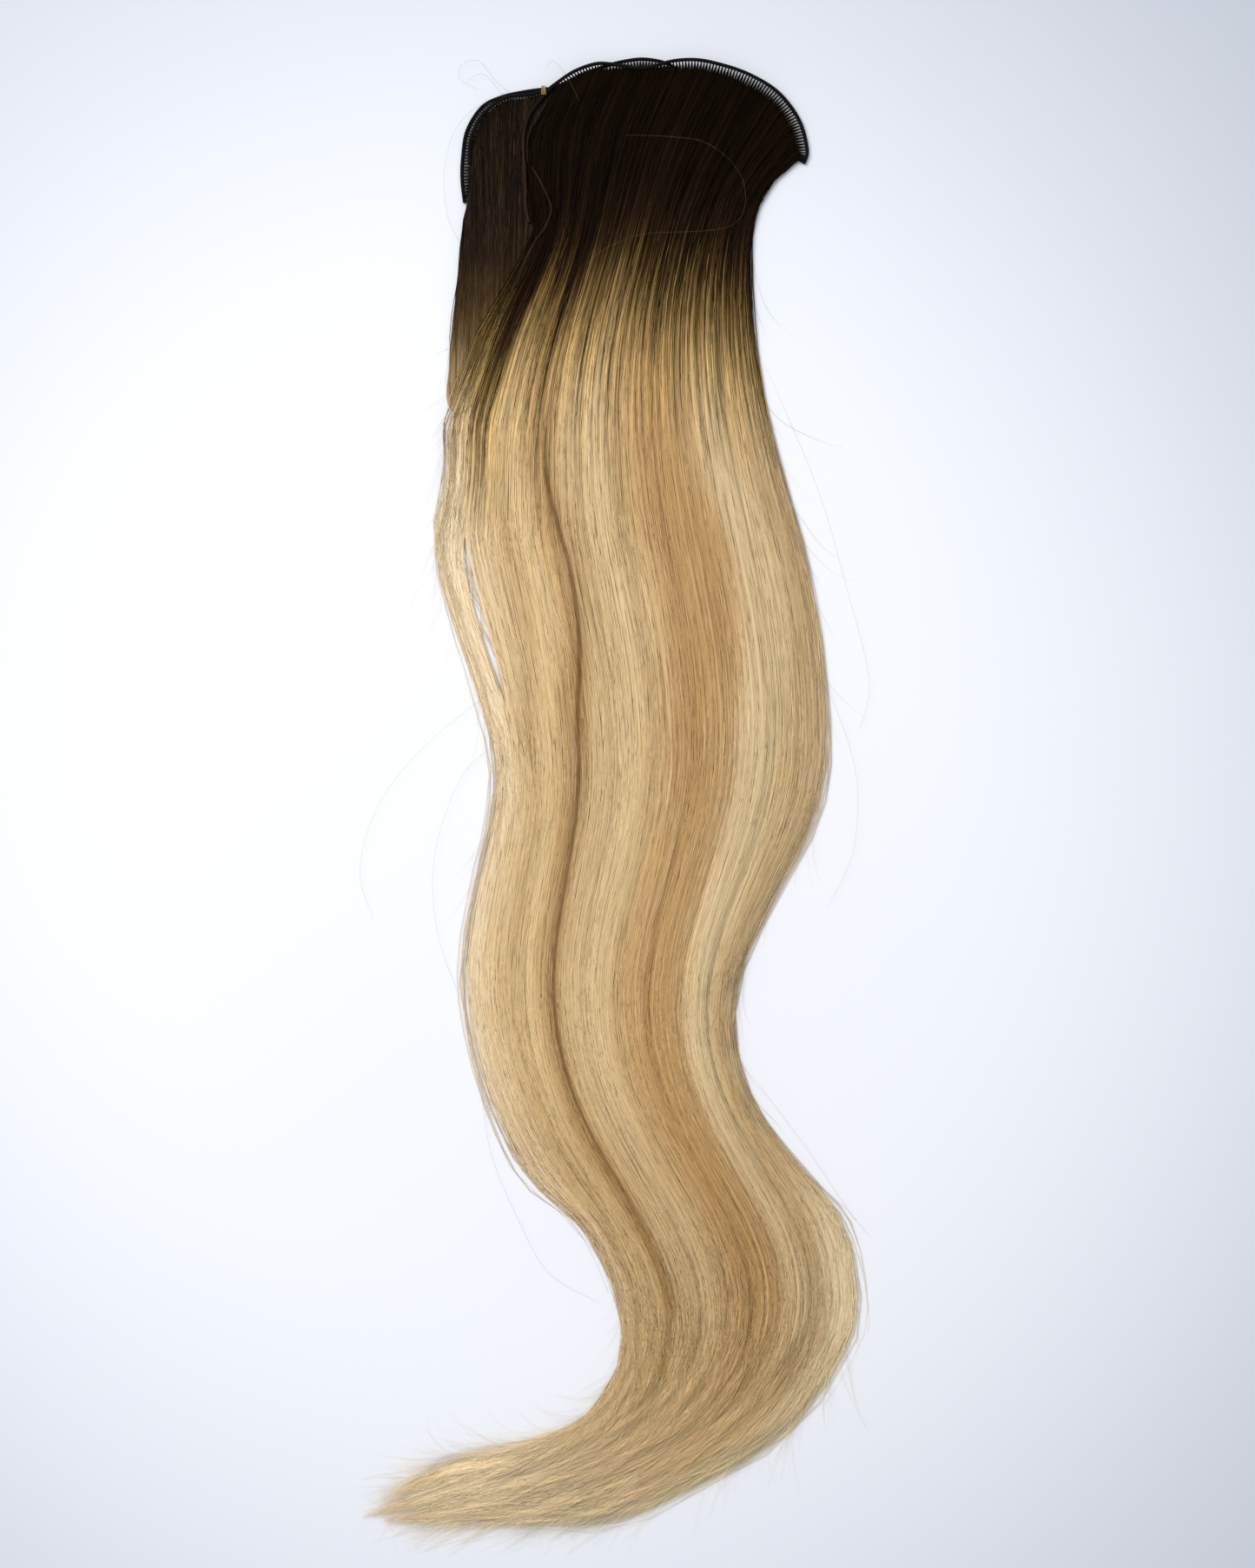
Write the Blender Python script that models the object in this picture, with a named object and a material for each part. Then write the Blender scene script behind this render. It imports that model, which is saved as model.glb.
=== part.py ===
"""Hair weft, folded in three layers and laid flat: sewn edges, combed roots and an S-shaped bundle.

Lengths are metres. +X is right and +Y is up along the hair as seen from above, +Z leaves the table.
A share across is a share of WIDTH from the middle line, and a share along is a share of LENGTH.
"""

import math

import bmesh
import bpy

# Driving sizes of the laid weft
WIDTH = 0.1767
LENGTH = 0.5214

# The three folded layers
SHEET = 0.0013
LAYER_STEP = 0.0017
BACK_LIFT = 0.0
MIDDLE_LIFT = BACK_LIFT + LAYER_STEP
FRONT_LIFT = MIDDLE_LIFT + LAYER_STEP
CLEARANCE = 0.0003

# Sewn edges and threads
BAND_RADIUS = 0.0007
SEAM_RADIUS = 0.0007
KNOT_RADIUS = 0.0011
SEAM_REACH = 0.007
TAB_LENGTH = 0.0034
TAB_WIDTH = 0.0016
TAB_THICKNESS = 0.0007
TAB_FALL = 0.0004
TAB_PLACE = (-0.131, 0.4777)

# The comb of root strands between the sewn edge and the hair
TOOTH_WIDTH = 0.0007
TOOTH_HEIGHT = 0.0007
TOOTH_ROOT = 0.0010
TOOTH_RISE = 0.0002
ROOT_STRAND = 0.0046

# How many bars each comb has, and the shares of its edge where they start and end
FRONT_COMB = (64, 0.02, 0.95)
MIDDLE_COMB = (12, 0.66, 0.90)
BACK_COMB = (36, 0.07, 0.98)

# The front layer lies on the two others, and comes down to the table between these shares of its edge
DRAPE_START = 0.55
DRAPE_END = 0.88
DRAPE_KEPT = 0.03

# The bundle
CROWN = 0.0092
LOCK_RELIEF = 0.0022
LEAST_EDGE = 0.0007
LAYER_RIPPLE = 0.0003
COLUMNS_PER_LOCK = 4
BACK_COLUMNS = 16
MIDDLE_COLUMNS = 20
STATIONS_PER_ROW = 2
FRONT_REACH = 0.965

# Colour, roughness and sheen of each material
LOOKS = {
    "black_thread": ((0.012, 0.011, 0.012), 0.55),
    "brown_thread": ((0.045, 0.028, 0.018), 0.65),
    "gold_thread": ((0.47, 0.31, 0.13), 0.50),
    "root_hair": ((0.022, 0.012, 0.007), 0.38),
    "shadow_hair": ((0.030, 0.019, 0.014), 0.45),
    "blond_hair": ((0.58, 0.42, 0.22), 0.36),
}

# Line of the lowest sewn edge, from its lower left end to where it goes under the front
BACK_LINE = [
    # across, along
    (-0.291, 0.4025),
    (-0.296, 0.4174),
    (-0.295, 0.4328),
    (-0.286, 0.4518),
    (-0.256, 0.4679),
    (-0.218, 0.4747),
    (-0.177, 0.4780),
    (-0.135, 0.4801),
    (-0.089, 0.4816),
]

# Line of the middle sewn edge, inside the left lobe and then the arch behind the front edge
MIDDLE_LINE = [
    # across, along
    (-0.281, 0.4287),
    (-0.280, 0.4417),
    (-0.270, 0.4530),
    (-0.247, 0.4649),
    (-0.205, 0.4741),
    (-0.156, 0.4762),
    (-0.098, 0.4822),
    (-0.051, 0.4899),
    (0.004, 0.4963),
    (0.037, 0.4989),
    (0.068, 0.5000),
    (0.100, 0.4987),
    (0.125, 0.4958),
    (0.147, 0.4905),
]

# The front sewn edge where it is turned down along the fold
FOLD_LINE = [
    # across, along
    (-0.160, 0.3880),
    (-0.165, 0.3940),
    (-0.168, 0.4019),
    (-0.168, 0.4150),
    (-0.171, 0.4322),
    (-0.171, 0.4477),
    (-0.161, 0.4602),
    (-0.140, 0.4703),
]

# The front sewn edge over its scallops, left to right
FRONT_LINE = [
    # across, along
    (-0.115, 0.4804),
    (-0.072, 0.4905),
    (-0.028, 0.4960),
    (0.004, 0.4960),
    (0.032, 0.4946),
    (0.061, 0.4930),
    (0.089, 0.4944),
    (0.129, 0.4980),
    (0.174, 0.4989),
    (0.218, 0.4963),
    (0.282, 0.4893),
    (0.342, 0.4774),
    (0.384, 0.4590),
    (0.400, 0.4388),
    (0.393, 0.4293),
]

# Length of the root strands along each edge, as shares of the longest one
FRONT_GAPS = [
    # share of the edge, share of ROOT_STRAND
    (0.00, 0.26),
    (0.06, 0.43),
    (0.30, 0.52),
    (0.50, 0.65),
    (0.72, 0.91),
    (0.90, 1.00),
    (1.00, 0.74),
]

MIDDLE_GAPS = [
    # share of the edge, share of ROOT_STRAND
    (0.00, 0.09),
    (0.15, 0.35),
    (1.00, 0.48),
]

BACK_GAPS = [
    # share of the edge, share of ROOT_STRAND
    (0.00, 0.09),
    (0.12, 0.48),
    (0.45, 0.74),
    (1.00, 0.57),
]

# Cross sections of the front layer and the bundle, from the comb down to the tip
FRONT_ROWS = [
    # left across, left along, right across, right along, arch kept, lift kept, crown, relief
    (-0.141, 0.4590, 0.359, 0.4243, 0.80, 1.00, 0.04, 0.05),
    (-0.164, 0.4420, 0.332, 0.4168, 0.60, 1.00, 0.10, 0.15),
    (-0.160, 0.4138, 0.308, 0.4035, 0.36, 1.00, 0.18, 0.30),
    (-0.143, 0.3859, 0.291, 0.3872, 0.16, 1.00, 0.28, 0.50),
    (-0.188, 0.3526, 0.286, 0.3633, 0.04, 1.00, 0.38, 0.70),
    (-0.247, 0.3187, 0.287, 0.3276, 0.00, 1.00, 0.48, 0.80),
    (-0.281, 0.2860, 0.299, 0.2889, 0.00, 1.00, 0.57, 0.90),
    (-0.318, 0.2515, 0.318, 0.2533, 0.00, 1.00, 0.66, 1.00),
    (-0.322, 0.2134, 0.346, 0.2134, 0.00, 0.50, 0.78, 1.00),
    (-0.346, 0.1700, 0.382, 0.1700, 0.00, 0.00, 0.90, 1.00),
    (-0.309, 0.1183, 0.413, 0.1183, 0.00, 0.00, 0.94, 1.00),
    (-0.258, 0.0690, 0.429, 0.0690, 0.00, 0.00, 0.95, 1.00),
    (-0.221, 0.0214, 0.430, 0.0184, 0.00, 0.00, 0.96, 1.00),
    (-0.229, -0.0232, 0.401, -0.0232, 0.00, 0.00, 0.97, 1.00),
    (-0.258, -0.0678, 0.334, -0.0678, 0.00, 0.00, 0.98, 1.00),
    (-0.281, -0.1183, 0.265, -0.1183, 0.00, 0.00, 1.00, 1.00),
    (-0.270, -0.1629, 0.247, -0.1659, 0.00, 0.00, 1.00, 1.00),
    (-0.224, -0.2164, 0.291, -0.2164, 0.00, 0.00, 0.96, 1.00),
    (-0.149, -0.2646, 0.393, -0.2634, 0.00, 0.00, 0.90, 1.00),
    (-0.046, -0.2979, 0.463, -0.2955, 0.00, 0.00, 0.85, 0.95),
    (0.022, -0.3442, 0.490, -0.3424, 0.00, 0.00, 0.80, 0.90),
    (0.034, -0.3817, 0.466, -0.3817, 0.00, 0.00, 0.74, 0.85),
    (0.002, -0.4085, 0.350, -0.4365, 0.00, 0.00, 0.64, 0.80),
    (-0.055, -0.4312, 0.185, -0.4712, 0.00, 0.00, 0.52, 0.70),
    (-0.163, -0.4452, 0.000, -0.4990, 0.00, 0.00, 0.40, 0.60),
    (-0.330, -0.4562, -0.221, -0.4996, 0.00, 0.00, 0.24, 0.40),
    (-0.442, -0.4822, -0.405, -0.4996, 0.00, 0.00, 0.10, 0.20),
]

# Locks of the bundle side by side, by the share across where each ends and how high it stands
LOCKS = [
    # end share, height
    (0.09, 0.70),
    (0.18, 0.95),
    (0.27, 0.80),
    (0.40, 1.00),
    (0.52, 0.85),
    (0.63, 1.00),
    (0.75, 0.90),
    (0.87, 1.00),
    (1.00, 0.75),
]

# Cross sections of the two lower layers, from their combs to where the bundle takes them over
BACK_ROWS = [
    # left across, left along, right across, right along, arch kept
    (-0.295, 0.3859, -0.019, 0.4287, 0.62),
    (-0.304, 0.3543, 0.007, 0.3870, 0.30),
    (-0.316, 0.3187, 0.012, 0.3395, 0.10),
    (-0.323, 0.2889, 0.009, 0.2949, 0.00),
    (-0.322, 0.2622, -0.002, 0.2622, 0.00),
    (-0.247, 0.2444, -0.037, 0.2444, 0.00),
]

MIDDLE_ROWS = [
    # left across, left along, right across, right along, arch kept
    (-0.284, 0.4019, 0.121, 0.4524, 0.66),
    (-0.292, 0.3633, 0.060, 0.4019, 0.30),
    (-0.303, 0.3246, 0.037, 0.3484, 0.10),
    (-0.306, 0.2919, 0.019, 0.3008, 0.00),
    (-0.300, 0.2646, 0.002, 0.2652, 0.00),
    (-0.247, 0.2473, -0.037, 0.2473, 0.00),
]

# Knotted seam down the fold
SEAM_LINE = [
    # across, along, knot share
    (-0.154, 0.4251, 0.2),
    (-0.138, 0.4156, 0.8),
    (-0.123, 0.4049, 0.1),
    (-0.116, 0.3977, 0.9),
    (-0.119, 0.3906, 0.2),
    (-0.130, 0.3823, 0.7),
    (-0.146, 0.3757, 0.1),
    (-0.160, 0.3674, 0.8),
    (-0.178, 0.3543, 0.2),
    (-0.188, 0.3430, 1.0),
]

# The white slit between the loose side lock and the bundle
SLIT_LINE = [
    # across, along
    (-0.294, 0.1683),
    (-0.286, 0.1480),
    (-0.260, 0.1183),
    (-0.230, 0.0927),
    (-0.214, 0.0690),
    (-0.206, 0.0571),
    (-0.199, 0.0589),
    (-0.195, 0.0690),
    (-0.202, 0.0927),
    (-0.237, 0.1183),
    (-0.272, 0.1480),
    (-0.287, 0.1700),
]

# Tip locks at the end of the tail, each from inside the bundle to its own point
TIP_LOCKS = [
    # start across, start along, bend across, bend along, end across, end along, share of TIP_WIDTH
    (0.060, -0.4690, -0.020, -0.4900, -0.120, -0.4990, 1.00),
    (-0.060, -0.4780, -0.160, -0.4940, -0.270, -0.4994, 0.90),
    (-0.200, -0.4790, -0.340, -0.4930, -0.455, -0.4996, 0.75),
    (-0.247, -0.4691, -0.380, -0.4840, -0.498, -0.4968, 0.65),
    (-0.180, -0.4580, -0.330, -0.4650, -0.460, -0.4850, 0.65),
]
TIP_WIDTH = 0.0080
TIP_HEIGHT = 0.0022
TIP_RISE = 0.0002
TIP_STATIONS = 6


def place(across, along):
    return (across * WIDTH, along * LENGTH)


def smooth(rows, steps):
    """Catmull-Rom through the rows, with each row kept."""
    made = []
    last = len(rows) - 1
    for i in range(last):
        before = rows[max(i - 1, 0)]
        after = rows[min(i + 2, last)]
        for k in range(steps):
            t = k / steps
            row = []
            for a, b, c, d in zip(before, rows[i], rows[i + 1], after):
                bend = 2 * a - 5 * b + 4 * c - d
                twist = 3 * b - a - 3 * c + d
                row.append(0.5 * (2 * b + (c - a) * t + bend * t * t + twist * t**3))
            made.append(tuple(row))
    made.append(tuple(rows[-1]))
    return made


def table(rows, share):
    """Value of a two-column table at the share, straight between its rows."""
    for (a, low), (b, high) in zip(rows, rows[1:]):
        if share <= b:
            return low + (high - low) * (share - a) / (b - a)
    return rows[-1][1]


def lengths_along(points):
    total = [0.0]
    for a, b in zip(points, points[1:]):
        total.append(total[-1] + math.dist(a[:2], b[:2]))
    return total


def point_at(points, share):
    """Point and unit direction at the share of the line's length."""
    total = lengths_along(points)
    goal = share * total[-1]
    i = 0
    while i < len(points) - 2 and total[i + 1] < goal:
        i += 1
    part = (goal - total[i]) / (total[i + 1] - total[i])
    a, b = points[i], points[i + 1]
    spot = tuple(p + (q - p) * part for p, q in zip(a, b))
    step = math.dist(a[:2], b[:2])
    return spot, ((b[0] - a[0]) / step, (b[1] - a[1]) / step)


def line_of(rows):
    return smooth([place(a, b) for a, b in rows], 4)


def ease(x):
    x = min(max(x, 0.0), 1.0)
    return x * x * (3 - 2 * x)


def front_lift(share):
    """The front layer lies on the two others at the left and on the table at the right."""
    down = ease((share - DRAPE_START) / (DRAPE_END - DRAPE_START))
    return FRONT_LIFT * (1 - (1 - DRAPE_KEPT) * down)


def level_lift(height):
    return lambda share: height


def rim_of(line, gaps, share):
    """Point of the hair's upper rim below the sewn edge, the root strands' length away from it."""
    spot, way = point_at(line, share)
    drop = BAND_RADIUS + ROOT_STRAND * table(gaps, share)
    return (spot[0] + way[1] * drop, spot[1] - way[0] * drop)


def lock_columns():
    """Shares across with the height of the locks at each, zero in a valley."""
    columns = [(0.0, 0.0)]
    start = 0.0
    for end, height in LOCKS:
        for k in range(1, COLUMNS_PER_LOCK + 1):
            part = k / COLUMNS_PER_LOCK
            bump = math.sin(math.pi * part) ** 0.7 if k < COLUMNS_PER_LOCK else 0.0
            columns.append((start + (end - start) * part, height * bump))
        start = end
    return columns


def even_columns(count):
    """Shares across with a low ripple, for the flat lower layers."""
    return [(k / count, 0.5 + 0.5 * math.cos(math.pi * k)) for k in range(count + 1)]


def hair_sections(line, gaps, rows, columns, lift, sheet, crown, relief, span=1.0):
    """Upper and lower points of every cross section, from the comb's rim down."""
    rim = [rim_of(line, gaps, share * span) for share, _ in columns]
    chord = (rim[-1][0] - rim[0][0], rim[-1][1] - rim[0][1])
    reach = chord[0] ** 2 + chord[1] ** 2
    along = []
    for point in rim:
        along.append(((point[0] - rim[0][0]) * chord[0] + (point[1] - rim[0][1]) * chord[1]) / reach)
    off = []
    for point, t in zip(rim, along):
        off.append((point[0] - rim[0][0] - t * chord[0], point[1] - rim[0][1] - t * chord[1]))
    sections = []
    first = (rim[0][0] / WIDTH, rim[0][1] / LENGTH, rim[-1][0] / WIDTH, rim[-1][1] / LENGTH, 1, 1, 0, 0)
    for row in smooth([first] + rows, STATIONS_PER_ROW):
        left_x, left_y, right_x, right_y, arch, kept, high, rough = row
        arch = max(arch, 0.0)
        kept = min(max(kept, 0.0), 1.0)
        left = place(left_x, left_y)
        right = place(right_x, right_y)
        upper = []
        lower = []
        for (share, bump), t, (ox, oy) in zip(columns, along, off):
            t = share + (t - share) * min(arch * 1.5, 1.0)
            x = left[0] + (right[0] - left[0]) * t + ox * arch
            y = left[1] + (right[1] - left[1]) * t + oy * arch
            dome = (1 - abs(2 * share - 1) ** 2.4) ** 0.75
            under = kept * lift(share * span)
            height = sheet + crown * max(high, 0.0) * dome
            height += relief * max(rough, 0.0) * (bump - 0.5) * min(1.0, 0.35 + dome)
            lower.append((x, y, under if under > 0.00002 else 0.0))
            upper.append((x, y, under + max(height, LEAST_EDGE)))
        sections.append((upper, lower))
    return sections


def loft(sections):
    """Closed mesh through the sections, with its flat underside on the table as one face."""
    mesh = bmesh.new()
    tops = [[mesh.verts.new(p) for p in upper] for upper, _ in sections]
    bases = [[mesh.verts.new(p) for p in lower] for _, lower in sections]
    columns = len(tops[0])
    for above, below, above_next, below_next in zip(tops, bases, tops[1:], bases[1:]):
        for i in range(columns - 1):
            mesh.faces.new((above[i], above_next[i], above_next[i + 1], above[i + 1]))
            mesh.faces.new((below[i], below[i + 1], below_next[i + 1], below_next[i]))
        mesh.faces.new((above[0], below[0], below_next[0], above_next[0]))
        mesh.faces.new((above[-1], above_next[-1], below_next[-1], below[-1]))
    for i in range(columns - 1):
        mesh.faces.new((tops[0][i], tops[0][i + 1], bases[0][i + 1], bases[0][i]))
        mesh.faces.new((tops[-1][i], bases[-1][i], bases[-1][i + 1], tops[-1][i + 1]))
    resting = [f for f in mesh.faces if all(v.co.z == 0.0 for v in f.verts)]
    if len(resting) > 1:
        bmesh.ops.dissolve_faces(mesh, faces=resting, use_verts=True)
    bmesh.ops.recalc_face_normals(mesh, faces=mesh.faces)
    return mesh


def material(name):
    found = bpy.data.materials.get(name)
    if found:
        return found
    colour, roughness = LOOKS[name]
    made = bpy.data.materials.new(name)
    made.use_nodes = True
    shader = made.node_tree.nodes["Principled BSDF"]
    shader.inputs["Base Color"].default_value = (*colour, 1.0)
    shader.inputs["Roughness"].default_value = roughness
    shader.inputs["Metallic"].default_value = 0.0
    made.diffuse_color = (*colour, 1.0)
    return made


def add_mesh(name, mesh, look, home):
    data = bpy.data.meshes.new(name)
    mesh.to_mesh(data)
    mesh.free()
    data.materials.append(material(look))
    part = bpy.data.objects.new(name, data)
    home.objects.link(part)
    return part


def add_cord(name, points, radius, look, home):
    """A round cord along the points. A fourth value of a point swells it there."""
    curve = bpy.data.curves.new(name, "CURVE")
    curve.dimensions = "3D"
    curve.bevel_depth = radius
    curve.bevel_resolution = 1
    curve.use_fill_caps = True
    spline = curve.splines.new("POLY")
    spline.points.add(len(points) - 1)
    for spot, point in zip(spline.points, points):
        spot.co = (point[0], point[1], point[2], 1.0)
        spot.radius = point[3] if len(point) > 3 else 1.0
    curve.materials.append(material(look))
    part = bpy.data.objects.new(name, curve)
    home.objects.link(part)
    return part


def box_between(mesh, start, end, half_width, low, high):
    """A straight bar from start to end, seen from above, between two heights."""
    step = math.dist(start, end)
    side = (-(end[1] - start[1]) / step * half_width, (end[0] - start[0]) / step * half_width)
    corners = []
    for z in (low, high):
        corners.append(mesh.verts.new((start[0] - side[0], start[1] - side[1], z)))
        corners.append(mesh.verts.new((end[0] - side[0], end[1] - side[1], z)))
        corners.append(mesh.verts.new((end[0] + side[0], end[1] + side[1], z)))
        corners.append(mesh.verts.new((start[0] + side[0], start[1] + side[1], z)))
    for a, b, c, d in ((3, 2, 1, 0), (4, 5, 6, 7), (0, 1, 5, 4), (1, 2, 6, 5), (2, 3, 7, 6), (3, 0, 4, 7)):
        mesh.faces.new((corners[a], corners[b], corners[c], corners[d]))


def comb(name, line, gaps, spread, lift, helpers):
    """Root strands as bars from just below the sewn edge into the hair's rim."""
    teeth, first, last = spread
    mesh = bmesh.new()
    for k in range(teeth):
        share = first + (last - first) * k / (teeth - 1)
        spot, way = point_at(line, share)
        near = BAND_RADIUS + CLEARANCE
        far = BAND_RADIUS + ROOT_STRAND * table(gaps, share) + TOOTH_ROOT
        start = (spot[0] + way[1] * near, spot[1] - way[0] * near)
        end = (spot[0] + way[1] * far, spot[1] - way[0] * far)
        low = lift(share) + TOOTH_RISE
        box_between(mesh, start, end, TOOTH_WIDTH / 2, low, low + TOOTH_HEIGHT)
    bmesh.ops.recalc_face_normals(mesh, faces=mesh.faces)
    part = add_mesh(name, mesh, "root_hair", helpers)
    part.hide_render = True
    part.display_type = "WIRE"
    return part


def join(part, other, operation="UNION"):
    change = part.modifiers.new(other.name, "BOOLEAN")
    change.operation = operation
    change.solver = "EXACT"
    change.object = other


def slit_cutter(helpers):
    outline = smooth([place(a, b) for a, b in SLIT_LINE], 1)
    curve = bpy.data.curves.new("slit_outline", "CURVE")
    curve.dimensions = "2D"
    curve.fill_mode = "BOTH"
    curve.extrude = 2 * CROWN
    spline = curve.splines.new("POLY")
    spline.points.add(len(outline) - 1)
    for spot, point in zip(spline.points, outline):
        spot.co = (point[0], point[1], 0.0, 1.0)
    spline.use_cyclic_u = True
    guide = bpy.data.objects.new("slit_outline", curve)
    mesh = bmesh.new()
    mesh.from_mesh(bpy.data.meshes.new_from_object(guide))
    bpy.data.objects.remove(guide)
    bmesh.ops.remove_doubles(mesh, verts=mesh.verts, dist=0.00001)
    bmesh.ops.recalc_face_normals(mesh, faces=mesh.faces)
    cutter = add_mesh("slit_cutter", mesh, "blond_hair", helpers)
    cutter.hide_render = True
    cutter.display_type = "WIRE"
    return cutter


def tip_lock(name, row, helpers):
    """A tapered lock with a low arched section that comes to a point on the table."""
    start = place(row[0], row[1])
    bend = place(row[2], row[3])
    end = place(row[4], row[5])
    mesh = bmesh.new()
    rings = []
    for k in range(TIP_STATIONS + 1):
        t = k / TIP_STATIONS
        x = (1 - t) ** 2 * start[0] + 2 * t * (1 - t) * bend[0] + t * t * end[0]
        y = (1 - t) ** 2 * start[1] + 2 * t * (1 - t) * bend[1] + t * t * end[1]
        dx = (1 - t) * (bend[0] - start[0]) + t * (end[0] - bend[0])
        dy = (1 - t) * (bend[1] - start[1]) + t * (end[1] - bend[1])
        step = math.hypot(dx, dy)
        across = (-dy / step, dx / step)
        half = row[6] * TIP_WIDTH / 2 * (1 - 0.88 * t**1.4)
        tall = TIP_HEIGHT * (1 - 0.75 * t)
        ring = []
        for side, rise in ((-1, 0.0), (-0.62, 0.72), (0, 1.0), (0.62, 0.72), (1, 0.0)):
            spot = (x + across[0] * side * half, y + across[1] * side * half, TIP_RISE + tall * rise)
            ring.append(mesh.verts.new(spot))
        rings.append(ring)
    for ring, following in zip(rings, rings[1:]):
        for i in range(5):
            j = (i + 1) % 5
            mesh.faces.new((ring[i], ring[j], following[j], following[i]))
    mesh.faces.new(rings[0])
    mesh.faces.new(reversed(rings[-1]))
    bmesh.ops.recalc_face_normals(mesh, faces=mesh.faces)
    part = add_mesh(name, mesh, "blond_hair", helpers)
    part.hide_render = True
    part.display_type = "WIRE"
    return part


def build_back(home, helpers):
    line = line_of(BACK_LINE)
    lift = level_lift(BACK_LIFT)
    rows = [(*row, 1.0, 0.0, 1.0) for row in BACK_ROWS]
    columns = even_columns(BACK_COLUMNS)
    sections = hair_sections(line, BACK_GAPS, rows, columns, lift, SHEET, 0.0, LAYER_RIPPLE)
    hair = add_mesh("hair_back", loft(sections), "shadow_hair", home)
    join(hair, comb("back_comb", line, BACK_GAPS, BACK_COMB, lift, helpers))
    points = [(x, y, BACK_LIFT + BAND_RADIUS) for x, y in line]
    add_cord("back_band", points, BAND_RADIUS, "black_thread", home)


def build_middle(home, helpers):
    line = line_of(MIDDLE_LINE)
    lift = level_lift(MIDDLE_LIFT)
    rows = [(*row, 1.0, 0.0, 1.0) for row in MIDDLE_ROWS]
    columns = even_columns(MIDDLE_COLUMNS)
    sections = hair_sections(line, MIDDLE_GAPS, rows, columns, lift, SHEET, 0.0, LAYER_RIPPLE)
    hair = add_mesh("hair_middle", loft(sections), "shadow_hair", home)
    join(hair, comb("middle_comb", line, MIDDLE_GAPS, MIDDLE_COMB, lift, helpers))
    points = [(x, y, MIDDLE_LIFT + BAND_RADIUS) for x, y in line]
    add_cord("middle_band", points, BAND_RADIUS, "black_thread", home)


def build_front(home, helpers):
    line = line_of(FRONT_LINE)
    sections = hair_sections(
        line, FRONT_GAPS, FRONT_ROWS, lock_columns(), front_lift, SHEET, CROWN, LOCK_RELIEF, FRONT_REACH
    )
    hair = add_mesh("hair_front", loft(sections), "blond_hair", home)
    join(hair, slit_cutter(helpers), "DIFFERENCE")
    join(hair, comb("front_comb", line, FRONT_GAPS, FRONT_COMB, front_lift, helpers))
    for number, row in enumerate(TIP_LOCKS, 1):
        join(hair, tip_lock("tip_lock_%d" % number, row, helpers))
    total = lengths_along(line)
    points = [(x, y, FRONT_LIFT + BAND_RADIUS) for x, y in line_of(FOLD_LINE)]
    for (x, y), length in zip(line, total):
        points.append((x, y, front_lift(length / total[-1]) + BAND_RADIUS))
    add_cord("front_band", points, BAND_RADIUS, "black_thread", home)
    return sections


def top_of(sections, x, y):
    """Highest point of the front layer within the seam's reach."""
    near = [p[2] for upper, _ in sections for p in upper if math.dist(p[:2], (x, y)) < SEAM_REACH]
    return max(near, default=FRONT_LIFT + SHEET)


def build_seam(home, sections):
    points = []
    for across, along, knot in smooth(SEAM_LINE, 3):
        x, y = place(across, along)
        swell = 1.0 + (KNOT_RADIUS / SEAM_RADIUS - 1.0) * min(max(knot, 0.0), 1.0)
        points.append((x, y, top_of(sections, x, y) + CLEARANCE + KNOT_RADIUS, swell))
    add_cord("fold_seam", points, SEAM_RADIUS, "brown_thread", home)


def build_tab(home):
    spot = place(*TAB_PLACE)
    way = (1.0, 0.0)
    side = (0.0, -1.0)
    mesh = bmesh.new()
    rings = []
    for k in range(7):
        s = (k / 6 - 0.5) * TAB_LENGTH
        fall = TAB_FALL * (2 * s / TAB_LENGTH) ** 2
        low = FRONT_LIFT + 2 * BAND_RADIUS + CLEARANCE - fall
        ring = []
        for w, z in ((-0.5, low), (0.5, low), (0.5, low + TAB_THICKNESS), (-0.5, low + TAB_THICKNESS)):
            x = spot[0] + side[0] * s + way[0] * w * TAB_WIDTH
            y = spot[1] + side[1] * s + way[1] * w * TAB_WIDTH
            ring.append(mesh.verts.new((x, y, z)))
        rings.append(ring)
    for ring, following in zip(rings, rings[1:]):
        for i in range(4):
            j = (i + 1) % 4
            mesh.faces.new((ring[i], ring[j], following[j], following[i]))
    mesh.faces.new(rings[0])
    mesh.faces.new(reversed(rings[-1]))
    bmesh.ops.recalc_face_normals(mesh, faces=mesh.faces)
    add_mesh("thread_tab", mesh, "gold_thread", home)


def centre(objects):
    """Moves the whole weft so that the middle of its bounding box is the origin, seen from above."""
    bpy.context.view_layer.update()
    graph = bpy.context.evaluated_depsgraph_get()
    corners = []
    for part in objects:
        data = part.evaluated_get(graph).to_mesh()
        corners += [tuple(part.matrix_world @ v.co) for v in data.vertices]
        part.evaluated_get(graph).to_mesh_clear()
    middle = [(min(c[i] for c in corners) + max(c[i] for c in corners)) / 2 for i in range(2)]
    for part in bpy.data.objects:
        part.location = (-middle[0], -middle[1], 0.0)


def main():
    for part in list(bpy.data.objects):
        bpy.data.objects.remove(part)
    home = bpy.data.collections.new("hair_weft")
    helpers = bpy.data.collections.new("helpers")
    bpy.context.scene.collection.children.link(home)
    bpy.context.scene.collection.children.link(helpers)
    build_back(home, helpers)
    build_middle(home, helpers)
    sections = build_front(home, helpers)
    build_seam(home, sections)
    build_tab(home)
    centre(list(home.objects))


if __name__ == "__main__":
    main()
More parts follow.
